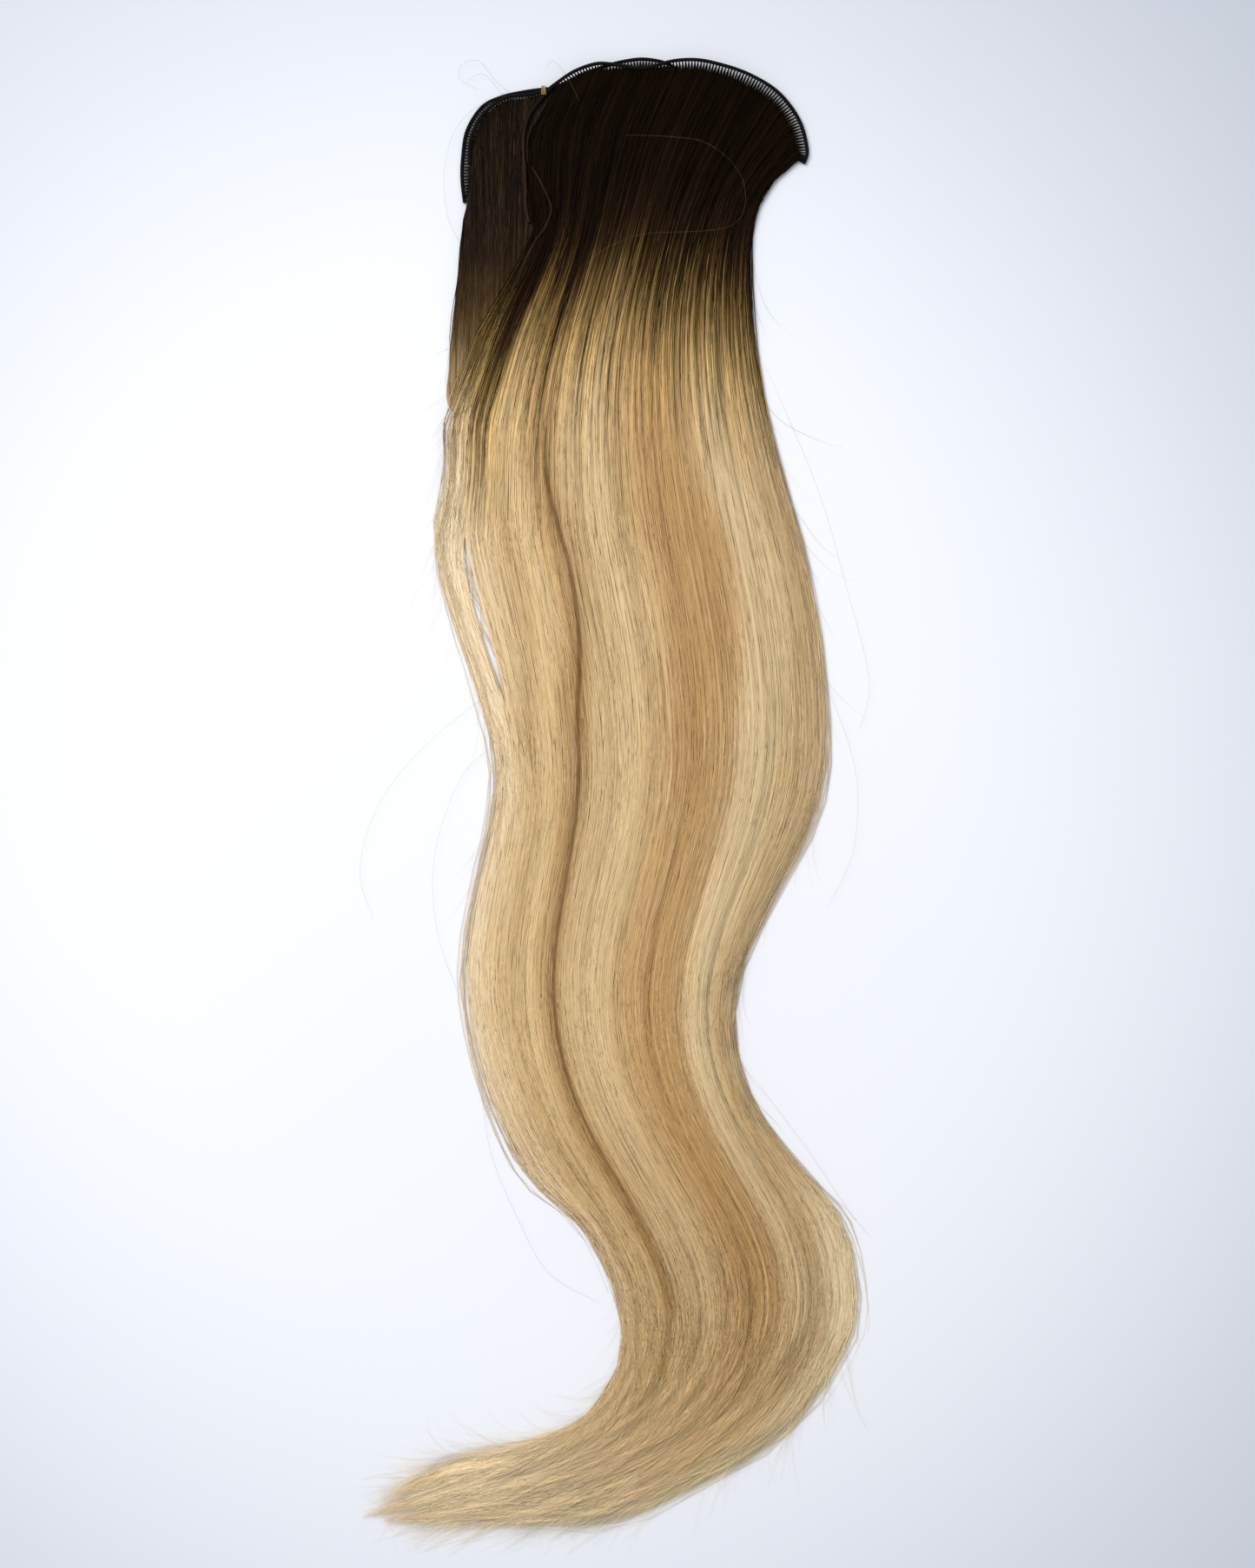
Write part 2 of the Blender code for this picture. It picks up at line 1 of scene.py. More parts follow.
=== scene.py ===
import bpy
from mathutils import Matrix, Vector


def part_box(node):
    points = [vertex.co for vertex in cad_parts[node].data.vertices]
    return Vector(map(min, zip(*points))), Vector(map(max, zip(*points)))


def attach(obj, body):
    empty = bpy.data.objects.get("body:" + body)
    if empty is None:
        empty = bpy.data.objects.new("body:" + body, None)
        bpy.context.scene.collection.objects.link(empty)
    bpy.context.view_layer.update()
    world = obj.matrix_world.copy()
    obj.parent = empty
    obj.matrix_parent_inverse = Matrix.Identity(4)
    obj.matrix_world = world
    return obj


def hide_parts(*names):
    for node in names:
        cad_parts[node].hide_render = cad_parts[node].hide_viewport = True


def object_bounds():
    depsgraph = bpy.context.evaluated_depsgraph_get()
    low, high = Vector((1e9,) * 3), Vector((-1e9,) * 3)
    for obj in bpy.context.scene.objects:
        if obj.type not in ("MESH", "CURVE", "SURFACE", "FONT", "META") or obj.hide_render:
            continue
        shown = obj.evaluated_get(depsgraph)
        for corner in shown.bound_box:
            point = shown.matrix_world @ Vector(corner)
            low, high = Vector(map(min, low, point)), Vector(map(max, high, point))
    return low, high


bl_info = {
    "name": "Folded Hair Weft",
    "version": (1, 0, 0),
    "blender": (4, 5, 0),
    "location": "3D View > Sidebar > Weft",
    "description": "Dresses the folded hair weft: sewn edges, root combs, streaked bundle and loose hairs",
    "category": "Object",
}

import math

import bpy
import numpy as np
from bpy.props import FloatProperty, FloatVectorProperty, IntProperty, PointerProperty
from bpy.types import Operator, Panel, PropertyGroup
from mathutils.kdtree import KDTree

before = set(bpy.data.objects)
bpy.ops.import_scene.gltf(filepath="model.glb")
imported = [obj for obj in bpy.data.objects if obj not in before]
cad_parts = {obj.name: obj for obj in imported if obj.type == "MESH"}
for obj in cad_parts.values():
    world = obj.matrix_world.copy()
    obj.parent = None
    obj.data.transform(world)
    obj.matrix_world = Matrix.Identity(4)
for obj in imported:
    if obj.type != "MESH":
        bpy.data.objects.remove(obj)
CAD_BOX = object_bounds()

# Sizes of the laid weft, in metres, as its solids have them
WIDTH = 0.1767
LENGTH = 0.5214
SHEET = 0.0013
LAYER_STEP = 0.0017
MIDDLE_LIFT = LAYER_STEP
FRONT_LIFT = 2 * LAYER_STEP
BAND_RADIUS = 0.0007
ROOT_STRAND = 0.0046
CROWN = 0.0092
LOCK_RELIEF = 0.0022
LEAST_EDGE = 0.0007

# Where the tail starts, as a share down the weft, and how much lower its locks stand out from each other
TAIL_START = 0.72
TAIL_CALM = 0.6

# Fine ridges of the hair: how many across, height in metres, how far they wander
FINE_RIDGES = ((34, 0.00022, 0.005), (90, 0.00012, 0.003))

# Where the front layer comes down to the table, in shares down the weft, and the lift that it keeps there
DRAPE_START = 0.55
DRAPE_END = 0.88
DRAPE_KEPT = 0.03

# Root strands near the cord: stations of a strand in root lengths, then for a tuft its stations in root
# lengths, half its width in pitches and its height in thicknesses
COMB_STATIONS = (0.0, 0.35, 0.7, 1.0, 1.5, 2.4)
TUFT = [
    (0.00, 0.23, 0.200), (0.35, 0.26, 0.305), (0.70, 0.38, 0.410),
    (1.00, 0.50, 0.500), (1.45, 0.50, 0.700), (2.40, 0.50, 0.100),
]

# Points along a sewn edge, distance between the rings of its cord, and from one turn of its thread to the next
EDGE_POINTS = 400
CORD_STEP = 0.00022
CORD_WIND = 0.0011

STRAND_SIDES = 3

# How far the bundle's body lies under the strands that cover it
BODY_SINK = 0.0001

# The photograph's frame, in pixels, and the table length that one pixel covers
FRAME_PIXELS = (1445, 1806)
PIXEL = 0.00031
WEFT_CENTRE_PIXEL = (701.0, 911.0)

# Painted light on the table: its colour is brightest round a spot and falls off into painted shade. How the spot's
# place is shifted and scaled, from where to where it falls off, and the tint of the painted shade at its edge
TABLE_SHIFT = (0.024, 0.044, 0.0)
TABLE_SCALE = (1.32, 1.21, 1.0)
TABLE_PAINTED_LIGHT_FALL = (0.182, 0.593)
TABLE_PAINTED_SHADE_TINT = (0.97, 1.01, 1.06)

# Lines of the sewn edges, as shares of WIDTH across and LENGTH along
BACK_LINE = [
    (-0.291, 0.4025), (-0.296, 0.4174), (-0.295, 0.4328), (-0.286, 0.4518), (-0.256, 0.4679),
    (-0.218, 0.4747), (-0.177, 0.4780), (-0.135, 0.4801), (-0.089, 0.4816),
]
MIDDLE_LINE = [
    (-0.281, 0.4287), (-0.280, 0.4417), (-0.270, 0.4530), (-0.247, 0.4649), (-0.205, 0.4741),
    (-0.156, 0.4762), (-0.098, 0.4822), (-0.051, 0.4899), (0.004, 0.4963), (0.037, 0.4989),
    (0.068, 0.5000), (0.100, 0.4987), (0.125, 0.4958), (0.147, 0.4905),
]
FOLD_LINE = [
    (-0.160, 0.3880), (-0.165, 0.3940), (-0.168, 0.4019), (-0.168, 0.4150), (-0.171, 0.4322),
    (-0.171, 0.4477), (-0.161, 0.4602), (-0.140, 0.4703),
]
FRONT_LINE = [
    (-0.115, 0.4804), (-0.072, 0.4905), (-0.028, 0.4960), (0.004, 0.4960), (0.032, 0.4946),
    (0.061, 0.4930), (0.089, 0.4944), (0.129, 0.4980), (0.174, 0.4989), (0.218, 0.4963),
    (0.282, 0.4893), (0.342, 0.4774), (0.384, 0.4590), (0.400, 0.4388), (0.393, 0.4293),
]

# Length of the root strands: share of the edge, share of ROOT_STRAND
FRONT_GAPS = [
    (0.00, 0.26), (0.06, 0.43), (0.30, 0.52), (0.50, 0.65), (0.72, 0.91), (0.90, 1.00), (0.96, 0.80), (1.00, 0.40),
]
MIDDLE_GAPS = [(0.00, 0.09), (0.15, 0.35), (1.00, 0.48)]
BACK_GAPS = [(0.00, 0.09), (0.12, 0.48), (0.45, 0.74), (1.00, 0.57)]

# Cross sections of the front layer and bundle:
# left across, left along, right across, right along, arch kept, lift kept, crown, relief
FRONT_ROWS = [
    (-0.141, 0.4590, 0.359, 0.4243, 0.80, 1.00, 0.04, 0.05),
    (-0.164, 0.4420, 0.332, 0.4168, 0.60, 1.00, 0.10, 0.15),
    (-0.160, 0.4138, 0.308, 0.4035, 0.36, 1.00, 0.18, 0.30),
    (-0.143, 0.3859, 0.291, 0.3872, 0.16, 1.00, 0.28, 0.50),
    (-0.188, 0.3526, 0.286, 0.3633, 0.04, 1.00, 0.38, 0.70),
    (-0.247, 0.3187, 0.287, 0.3276, 0.00, 1.00, 0.48, 0.80),
    (-0.281, 0.2860, 0.299, 0.2889, 0.00, 1.00, 0.57, 0.90),
    (-0.318, 0.2515, 0.318, 0.2533, 0.00, 1.00, 0.66, 1.00),
    (-0.322, 0.2134, 0.346, 0.2134, 0.00, 0.50, 0.78, 1.00),
    (-0.346, 0.1700, 0.382, 0.1700, 0.00, 0.00, 0.90, 1.00),
    (-0.309, 0.1183, 0.413, 0.1183, 0.00, 0.00, 0.94, 1.00),
    (-0.258, 0.0690, 0.429, 0.0690, 0.00, 0.00, 0.95, 1.00),
    (-0.221, 0.0214, 0.430, 0.0184, 0.00, 0.00, 0.96, 1.00),
    (-0.229, -0.0232, 0.401, -0.0232, 0.00, 0.00, 0.97, 1.00),
    (-0.258, -0.0678, 0.334, -0.0678, 0.00, 0.00, 0.98, 1.00),
    (-0.281, -0.1183, 0.265, -0.1183, 0.00, 0.00, 1.00, 1.00),
    (-0.270, -0.1629, 0.247, -0.1659, 0.00, 0.00, 1.00, 1.00),
    (-0.224, -0.2164, 0.291, -0.2164, 0.00, 0.00, 0.96, 1.00),
    (-0.149, -0.2646, 0.393, -0.2634, 0.00, 0.00, 0.90, 1.00),
    (-0.046, -0.2979, 0.463, -0.2955, 0.00, 0.00, 0.85, 0.95),
    (0.022, -0.3442, 0.490, -0.3424, 0.00, 0.00, 0.80, 0.90),
    (0.034, -0.3817, 0.466, -0.3817, 0.00, 0.00, 0.74, 0.85),
    (0.002, -0.4085, 0.350, -0.4365, 0.00, 0.00, 0.64, 0.80),
    (-0.055, -0.4312, 0.185, -0.4712, 0.00, 0.00, 0.52, 0.70),
    (-0.163, -0.4452, 0.000, -0.4990, 0.00, 0.00, 0.40, 0.60),
    (-0.330, -0.4562, -0.221, -0.4996, 0.00, 0.00, 0.24, 0.40),
    (-0.442, -0.4822, -0.405, -0.4996, 0.00, 0.00, 0.10, 0.20),
]

# Locks of the bundle: end share across, height
LOCKS = [
    (0.09, 0.70), (0.18, 0.95), (0.27, 0.80), (0.40, 1.00), (0.52, 0.85),
    (0.63, 1.00), (0.75, 0.90), (0.87, 1.00), (1.00, 0.75),
]

# Cross sections of the lower layers: left across, left along, right across, right along, arch kept. Each row
# ends in the same lift kept, crown and relief.
LOWER_ROW_END = (1.0, 0.0, 1.0)
BACK_ROWS = [
    (-0.295, 0.3859, -0.019, 0.4287, 0.62),
    (-0.304, 0.3543, 0.007, 0.3870, 0.30),
    (-0.316, 0.3187, 0.012, 0.3395, 0.10),
    (-0.323, 0.2889, 0.009, 0.2949, 0.00),
    (-0.322, 0.2622, -0.002, 0.2622, 0.00),
    (-0.247, 0.2444, -0.037, 0.2444, 0.00),
]
MIDDLE_ROWS = [
    (-0.284, 0.4019, 0.121, 0.4524, 0.66),
    (-0.292, 0.3633, 0.060, 0.4019, 0.30),
    (-0.303, 0.3246, 0.037, 0.3484, 0.10),
    (-0.306, 0.2919, 0.019, 0.3008, 0.00),
    (-0.300, 0.2646, 0.002, 0.2652, 0.00),
    (-0.247, 0.2473, -0.037, 0.2473, 0.00),
]

# Knotted seam down the fold: across, along, knot share
SEAM_LINE = [
    (-0.154, 0.4251, 0.2), (-0.138, 0.4156, 0.8), (-0.123, 0.4049, 0.1), (-0.116, 0.3977, 0.9),
    (-0.119, 0.3906, 0.2), (-0.130, 0.3823, 0.7), (-0.146, 0.3757, 0.1), (-0.160, 0.3674, 0.8),
    (-0.178, 0.3543, 0.2), (-0.188, 0.3430, 1.0),
]

# Locks of the tip: start, bend and end across and along, share of the full spread
TIP_LOCKS = [
    (0.060, -0.4690, -0.020, -0.4900, -0.120, -0.4990, 1.00),
    (-0.060, -0.4780, -0.160, -0.4940, -0.270, -0.4994, 0.90),
    (-0.200, -0.4790, -0.340, -0.4930, -0.455, -0.4996, 0.75),
    (-0.247, -0.4691, -0.380, -0.4840, -0.498, -0.4968, 0.65),
    (-0.180, -0.4580, -0.330, -0.4650, -0.460, -0.4850, 0.65),
]

# How far loose hairs may stand out past the sides and ends of the solids
LOOSE_MARGIN = (0.007, 0.012)

# Straight stitches above the knotted seam, and those just inside the fold
SEAM_STITCHES = [(-0.168, 0.4287), (-0.167, 0.4168), (-0.165, 0.4049), (-0.166, 0.3930), (-0.158, 0.3840)]
FOLD_STITCHES = [(-0.126, 0.4690), (-0.142, 0.4600), (-0.158, 0.4500), (-0.164, 0.4400), (-0.163, 0.4287)]

# The slit between the loose side lock and the bundle: share across the bundle where it runs, half its width
# there, the shares along the weft between which it is open, and how much lower and how wide the dent round it is
SLIT_SHARE = 0.066
SLIT_HALF = 0.0115
SLIT_SPAN = (0.1690, 0.0580)
SLIT_DENT = 0.84
SLIT_DENT_WIDTH = 0.085

# Loose hairs that stand out from the rest: points across and along
LOOSE_HAIRS = [
    [(0.033, 0.4465), (0.128, 0.4452), (0.200, 0.4405), (0.261, 0.4227), (0.275, 0.4019), (0.253, 0.3870),
     (0.191, 0.3811), (0.068, 0.3781), (-0.002, 0.3692), (-0.051, 0.3561)],
    [(-0.168, 0.4715), (-0.221, 0.4834), (-0.261, 0.4988), (-0.296, 0.4964), (-0.300, 0.4869), (-0.261, 0.4798)],
    [(-0.177, 0.4584), (-0.247, 0.4703), (-0.309, 0.4524), (-0.332, 0.4227), (-0.325, 0.3930), (-0.300, 0.3751)],
    [(-0.290, 0.4465), (-0.254, 0.4375), (-0.216, 0.4300), (-0.172, 0.4251)],
    [(-0.150, 0.4640), (-0.205, 0.4730), (-0.252, 0.4900), (-0.290, 0.4850)],
    [(-0.060, 0.4700), (-0.085, 0.4880), (-0.112, 0.4990), (-0.130, 0.4940)],
    [(0.314, 0.2919), (0.419, 0.2087), (0.481, 0.1373), (0.518, 0.0898), (0.525, 0.0660), (0.505, 0.0420)],
    [(0.400, 0.0900), (0.458, 0.0560), (0.500, 0.0080), (0.492, -0.0420), (0.440, -0.0800)],
    [(-0.221, 0.0719), (-0.353, 0.0363), (-0.458, -0.0054), (-0.502, -0.0529), (-0.475, -0.0886)],
    [(-0.235, 0.0300), (-0.300, 0.0080), (-0.352, -0.0450), (-0.345, -0.0980), (-0.290, -0.1500)],
    [(-0.260, -0.1900), (-0.240, -0.2450), (-0.180, -0.2950), (-0.120, -0.3300), (-0.020, -0.3500)],
    [(0.300, -0.2000), (0.400, -0.2450), (0.480, -0.2850), (0.526, -0.3050)],
]

# Pale single hairs that lie on the bundle: points across and along
PALE_HAIRS = [
    [(-0.147, 0.1610), (-0.133, 0.1460), (-0.107, 0.1220), (-0.086, 0.1050), (-0.077, 0.0950)],
    [(-0.303, 0.2010), (-0.306, 0.1900), (-0.300, 0.1760), (-0.292, 0.1640), (-0.286, 0.1560)],
    [(-0.255, 0.1140), (-0.243, 0.1020), (-0.232, 0.0920), (-0.226, 0.0830), (-0.221, 0.0740)],
    [(0.120, 0.0500), (0.126, 0.0300), (0.124, 0.0100), (0.116, -0.0080), (0.104, -0.0260)],
]

# Where the tab's middle is, which ties these shares to the frame
TAB_PLACE = (-0.131, 0.4777)
tab_low, tab_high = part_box("thread_tab")
ORIGIN = (
    (tab_low[0] + tab_high[0]) / 2 - TAB_PLACE[0] * WIDTH,
    (tab_low[1] + tab_high[1]) / 2 - TAB_PLACE[1] * LENGTH,
)

# Blond stripes across the bundle: share across, sRGB colour. The darker stops from 0.235 to 0.295 are painted
# shade down the valley between two locks
BLOND_STRIPES = [
    (0.00, (226, 206, 172)),
    (0.06, (218, 194, 152)),
    (0.13, (198, 170, 122)),
    (0.18, (214, 189, 142)),
    (0.235, (192, 160, 110)),
    (0.265, (166, 133, 86)),
    (0.295, (174, 142, 95)),
    (0.33, (200, 174, 128)),
    (0.43, (210, 186, 142)),
    (0.50, (202, 174, 126)),
    (0.56, (190, 154, 104)),
    (0.66, (180, 144, 92)),
    (0.73, (188, 154, 104)),
    (0.78, (210, 186, 144)),
    (0.86, (206, 184, 142)),
    (0.92, (190, 163, 118)),
    (1.00, (204, 180, 140)),
]

# From the root down: metres below the top edge, sRGB colour
ROOT_FADE = [
    (0.000, (16, 9, 3)),
    (0.045, (19, 11, 4)),
    (0.062, (31, 20, 8)),
    (0.072, (57, 41, 19)),
    (0.081, (90, 70, 38)),
    (0.092, (122, 99, 59)),
    (0.105, (148, 121, 77)),
    (0.118, (152, 125, 81)),
]

# How much further down the fade comes: share across, metres
LATE_FADE = [
    (0.00, 0.012), (0.03, 0.018), (0.06, 0.031), (0.085, 0.037), (0.11, 0.026), (0.14, 0.006), (0.18, 0.0),
    (0.22, 0.008), (0.26, 0.016), (0.29, 0.012), (0.33, 0.002), (0.40, 0.0), (0.52, 0.0), (0.65, 0.003),
    (0.93, 0.010), (1.00, 0.022),
]

# Lower layers from the root down: metres below the top edge, sRGB colour
LOWER_FADE = [
    (0.000, (22, 14, 7)),
    (0.050, (30, 21, 13)),
    (0.072, (46, 33, 21)),
    (0.088, (88, 67, 41)),
    (0.100, (124, 99, 63)),
    (0.114, (178, 150, 107)),
    (0.125, (214, 188, 144)),
]

# How light the lower layers' stripes are: share across, grey from 0 to 255
LOWER_STRIPES = [
    (0.0, 178), (0.12, 186), (0.20, 206), (0.32, 182), (0.42, 226), (0.58, 236), (0.72, 200), (1.0, 180),
]

# The length, in metres, that both fades fit in
FADE_RANGE = 0.125


def linear(colour):
    """Linear red, green and blue of an sRGB colour given from 0 to 255, with full alpha."""
    shares = [value / 255 for value in colour]
    return (*(s / 12.92 if s <= 0.04045 else ((s + 0.055) / 1.055) ** 2.4 for s in shares), 1.0)


def place(across, along):
    """Point on the table for shares of the weft's width and length."""
    return np.stack([np.asarray(across) * WIDTH + ORIGIN[0], np.asarray(along) * LENGTH + ORIGIN[1]], -1)


def through(rows, count):
    """Smooth curve through the rows, read at an even number of places."""
    rows = np.asarray(rows, float)
    at = np.linspace(0, len(rows) - 1, count)
    i = np.minimum(at.astype(int), len(rows) - 2)
    t = (at - i)[:, None]
    a, b, c, d = rows[np.maximum(i - 1, 0)], rows[i], rows[i + 1], rows[np.minimum(i + 2, len(rows) - 1)]
    return 0.5 * (2 * b + (c - a) * t + (2 * a - 5 * b + 4 * c - d) * t**2 + (3 * b - a - 3 * c + d) * t**3)


def curve(points, count):
    """Smooth curve through points given as shares across and along."""
    return through(place(*zip(*points)), count)


def distances(points):
    """Distance along the polyline up to each of its points."""
    return np.concatenate([[0], np.cumsum(np.linalg.norm(np.diff(points, axis=0), axis=1))])


def read_at(line, places, goal):
    """Points of the line at the goal, where places says how far along it each of its points is."""
    return np.stack([np.interp(goal, places, column) for column in line.T], -1)


def even(points, count):
    """The polyline with evenly spaced points."""
    total = distances(points)
    return read_at(points, total, np.linspace(0, total[-1], count))


def edge_line(rows, count=EDGE_POINTS):
    return even(curve(rows, 40 * len(rows)), count)


def ease(x):
    x = np.clip(x, 0, 1)
    return x * x * (3 - 2 * x)


def front_lift(share):
    return FRONT_LIFT * (1 - (1 - DRAPE_KEPT) * ease((share - DRAPE_START) / (DRAPE_END - DRAPE_START)))


def ripple(u, v, ridges, seed, wander=0.012):
    """Uneven ridges across, about so many of them, that wander slowly on their way down."""
    rng = np.random.default_rng(seed)
    total = 0
    for _ in range(5):
        count = ridges * rng.uniform(0.6, 1.4)
        start, turn = rng.uniform(0, 2 * math.pi, 3)[:2]
        drift = wander * np.sin(2 * math.pi * rng.uniform(0.8, 2.6) * v + turn)
        total = total + np.sin(2 * math.pi * count * (u + drift) + start)
    return total / 5**0.5


def lock_bumps(u):
    """Height of the side by side locks, zero in each valley."""
    bump = np.zeros_like(u)
    start = 0.0
    for end, height in LOCKS:
        part = np.clip((u - start) / (end - start), 0, 1)
        bump = np.where((u >= start) & (u <= end), height * np.sin(math.pi * part) ** 0.7, bump)
        start = end
    return bump


def calmed(line, spread=16):
    """The line with its tight bends taken out, but for its first and last points."""
    reach = np.arange(-3 * spread, 3 * spread + 1)
    weight = np.exp(-((reach / spread) ** 2) / 2)
    weight /= weight.sum()
    start = 2 * line[0] - line[3 * spread:0:-1]
    finish = 2 * line[-1] - line[-2:-3 * spread - 2:-1]
    padded = np.concatenate([start, line, finish])
    return np.stack([np.convolve(column, weight, "valid") for column in padded.T], -1)


class Layer:
    """One layer of hair. u runs across it from left to right, v down it from the sewn edge to its end."""

    COLUMNS = 201
    STATIONS = 401
    CORD_STATIONS = 6
    SIDE_REACH = 0.30

    def __init__(self, line, gaps, rows, lift, crown=0.0, relief=0.0, slit=False):
        self.crown = crown
        self.relief = relief
        u = np.linspace(0, 1, self.COLUMNS)
        edge = edge_line(line)
        spot = read_at(edge, np.linspace(0, 1, len(edge)), u)
        way = np.gradient(spot, axis=0)
        way /= np.linalg.norm(way, axis=1, keepdims=True)
        gap = BAND_RADIUS + ROOT_STRAND * np.interp(u, *zip(*gaps))
        rim = spot + np.stack([way[:, 1], -way[:, 0]], -1) * gap[:, None]
        chord = rim[-1] - rim[0]
        along = (rim - rim[0]) @ chord / (chord @ chord)
        off = rim - rim[0] - along[:, None] * chord
        ends = (rim[[0, -1]] - ORIGIN) / (WIDTH, LENGTH)
        full_rows = [(*row, *LOWER_ROW_END)[:8] for row in rows]
        table = through([(*ends.ravel(), 1, 1, 0, 0)] + full_rows, self.STATIONS)
        left, right = place(table[:, 0], table[:, 1]), place(table[:, 2], table[:, 3])
        arch, kept, high, rough = (np.maximum(column, 0)[:, None] for column in table[:, 4:].T)
        t = u + (along - u) * np.minimum(arch * 1.5, 1)
        calm_left, calm_right = calmed(left), calmed(right)
        by_left, by_right = (np.clip(1 - s / self.SIDE_REACH, 0, 1)[..., None] ** 2 for s in (t, 1 - t))
        xy = calm_left[:, None] + (calm_right - calm_left)[:, None] * t[..., None] + off * arch[..., None]
        xy = xy + by_left * (left - calm_left)[:, None] + by_right * (right - calm_right)[:, None]
        low = np.minimum(kept, 1) * lift(u)
        flat = np.ones_like(low)
        hair = np.concatenate([xy, np.stack([low, high * flat, rough * flat], -1)], -1)
        cord = np.zeros((self.CORD_STATIONS, self.COLUMNS, 5))
        cord[..., :2] = spot + (rim - spot) * np.linspace(0, 1, self.CORD_STATIONS, endpoint=False)[:, None, None]
        cord[..., 2] = lift(u)
        rows = np.concatenate([cord, hair])
        share = distances(rows[:, self.COLUMNS // 2, :2])
        self.length = share[-1]
        share = share / self.length
        self.rim = share[self.CORD_STATIONS]
        goal = np.linspace(0, 1, self.STATIONS)
        i = np.clip(np.searchsorted(share, goal, "right") - 1, 0, len(share) - 2)
        f = ((goal - share[i]) / (share[i + 1] - share[i]))[:, None, None]
        self.grid = rows[i] * (1 - f) + rows[i + 1] * f
        self.slit = None
        if slit:
            column = self.grid[:, int(SLIT_SHARE * (self.COLUMNS - 1)), 1]
            self.slit = [goal[np.argmin(np.abs(column - place(0, end)[1]))] for end in SLIT_SPAN]

    def slit_half(self, v):
        part = np.clip((v - self.slit[0]) / (self.slit[1] - self.slit[0]), 0, 1)
        return SLIT_HALF * np.sin(math.pi * part**0.9) ** 0.6

    def opened(self, u, v):
        """u moved aside so that the slit stays open."""
        if self.slit is None:
            return u
        half = self.slit_half(v)
        left = u * (SLIT_SHARE - half) / SLIT_SHARE
        right = SLIT_SHARE + half + (u - SLIT_SHARE) * (1 - SLIT_SHARE - half) / (1 - SLIT_SHARE)
        return np.where(u < SLIT_SHARE, left, right)

    def read(self, u, v):
        """Place, underside, crown and roughness shares at u and v, carried on a little way past the edges."""
        u = self.opened(u, v)
        i = np.minimum((np.clip(u, 0, 1) * (self.COLUMNS - 1)).astype(int), self.COLUMNS - 2)
        j = np.minimum((np.clip(v, 0, 1) * (self.STATIONS - 1)).astype(int), self.STATIONS - 2)
        fx = (u * (self.COLUMNS - 1) - i)[..., None]
        fy = (v * (self.STATIONS - 1) - j)[..., None]
        g = self.grid
        upper = g[j, i] * (1 - fx) + g[j, i + 1] * fx
        lower = g[j + 1, i] * (1 - fx) + g[j + 1, i + 1] * fx
        return upper * (1 - fy) + lower * fy

    def low(self, u, v):
        """Point of the underside."""
        found = self.read(u, v)
        return np.concatenate([found[..., :2], np.maximum(found[..., 2:3], 0)], -1)

    def top(self, u, v, fine=1.0):
        """Point of the upper surface, with its locks and fine ridges."""
        found = self.read(u, v)
        inner = np.clip(u, 0, 1)
        dome = (1 - np.abs(2 * inner - 1) ** 2.4) ** 0.75
        height = SHEET + self.crown * np.maximum(found[..., 3], 0) * dome
        rough = np.maximum(found[..., 4], 0) * (1 - TAIL_CALM * ease((v - TAIL_START) / 0.12))
        height = height + self.relief * rough * (lock_bumps(inner) - 0.5) * np.minimum(1, 0.35 + dome)
        if self.slit is not None:
            near = np.exp(-(((inner - SLIT_SHARE + 0.02) / SLIT_DENT_WIDTH) ** 2))
            reach = self.slit[1] - self.slit[0]
            rise = ease((v - self.slit[0] + 0.9 * reach) / (0.8 * reach))
            fall = ease((self.slit[1] + 0.9 * reach - v) / (0.8 * reach))
            height = height * (1 - SLIT_DENT * near * rise * fall)
        body = np.clip((v - self.rim) / 0.05, 0, 1)
        for seed, (ridges, tall, wander) in enumerate(FINE_RIDGES, 1):
            height = height + fine * body * tall * ripple(inner, v, ridges, seed, wander)
        height = np.maximum(height, LEAST_EDGE)
        return np.concatenate([found[..., :2], (np.maximum(found[..., 2], 0) + height)[..., None]], -1)


def front_layer():
    return Layer(FRONT_LINE, FRONT_GAPS, FRONT_ROWS, front_lift, CROWN, LOCK_RELIEF, True)


def lower_layers():
    """The back and middle layers, each with its name."""
    back = Layer(BACK_LINE, BACK_GAPS, BACK_ROWS, lambda share: 0 * share)
    middle = Layer(MIDDLE_LINE, MIDDLE_GAPS, MIDDLE_ROWS, lambda share: MIDDLE_LIFT + 0 * share)
    return ("back", back), ("middle", middle)


def new_object(mesh, material):
    """A piece of the weft named after its mesh."""
    mesh.materials.append(material)
    piece = bpy.data.objects.new(mesh.name, mesh)
    bpy.context.scene.collection.objects.link(piece)
    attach(piece, "root")
    return piece


def add_uv(mesh, name, corners):
    layer = mesh.uv_layers.new(name=name)
    layer.uv.foreach_set("vector", np.asarray(corners, np.float32).ravel())


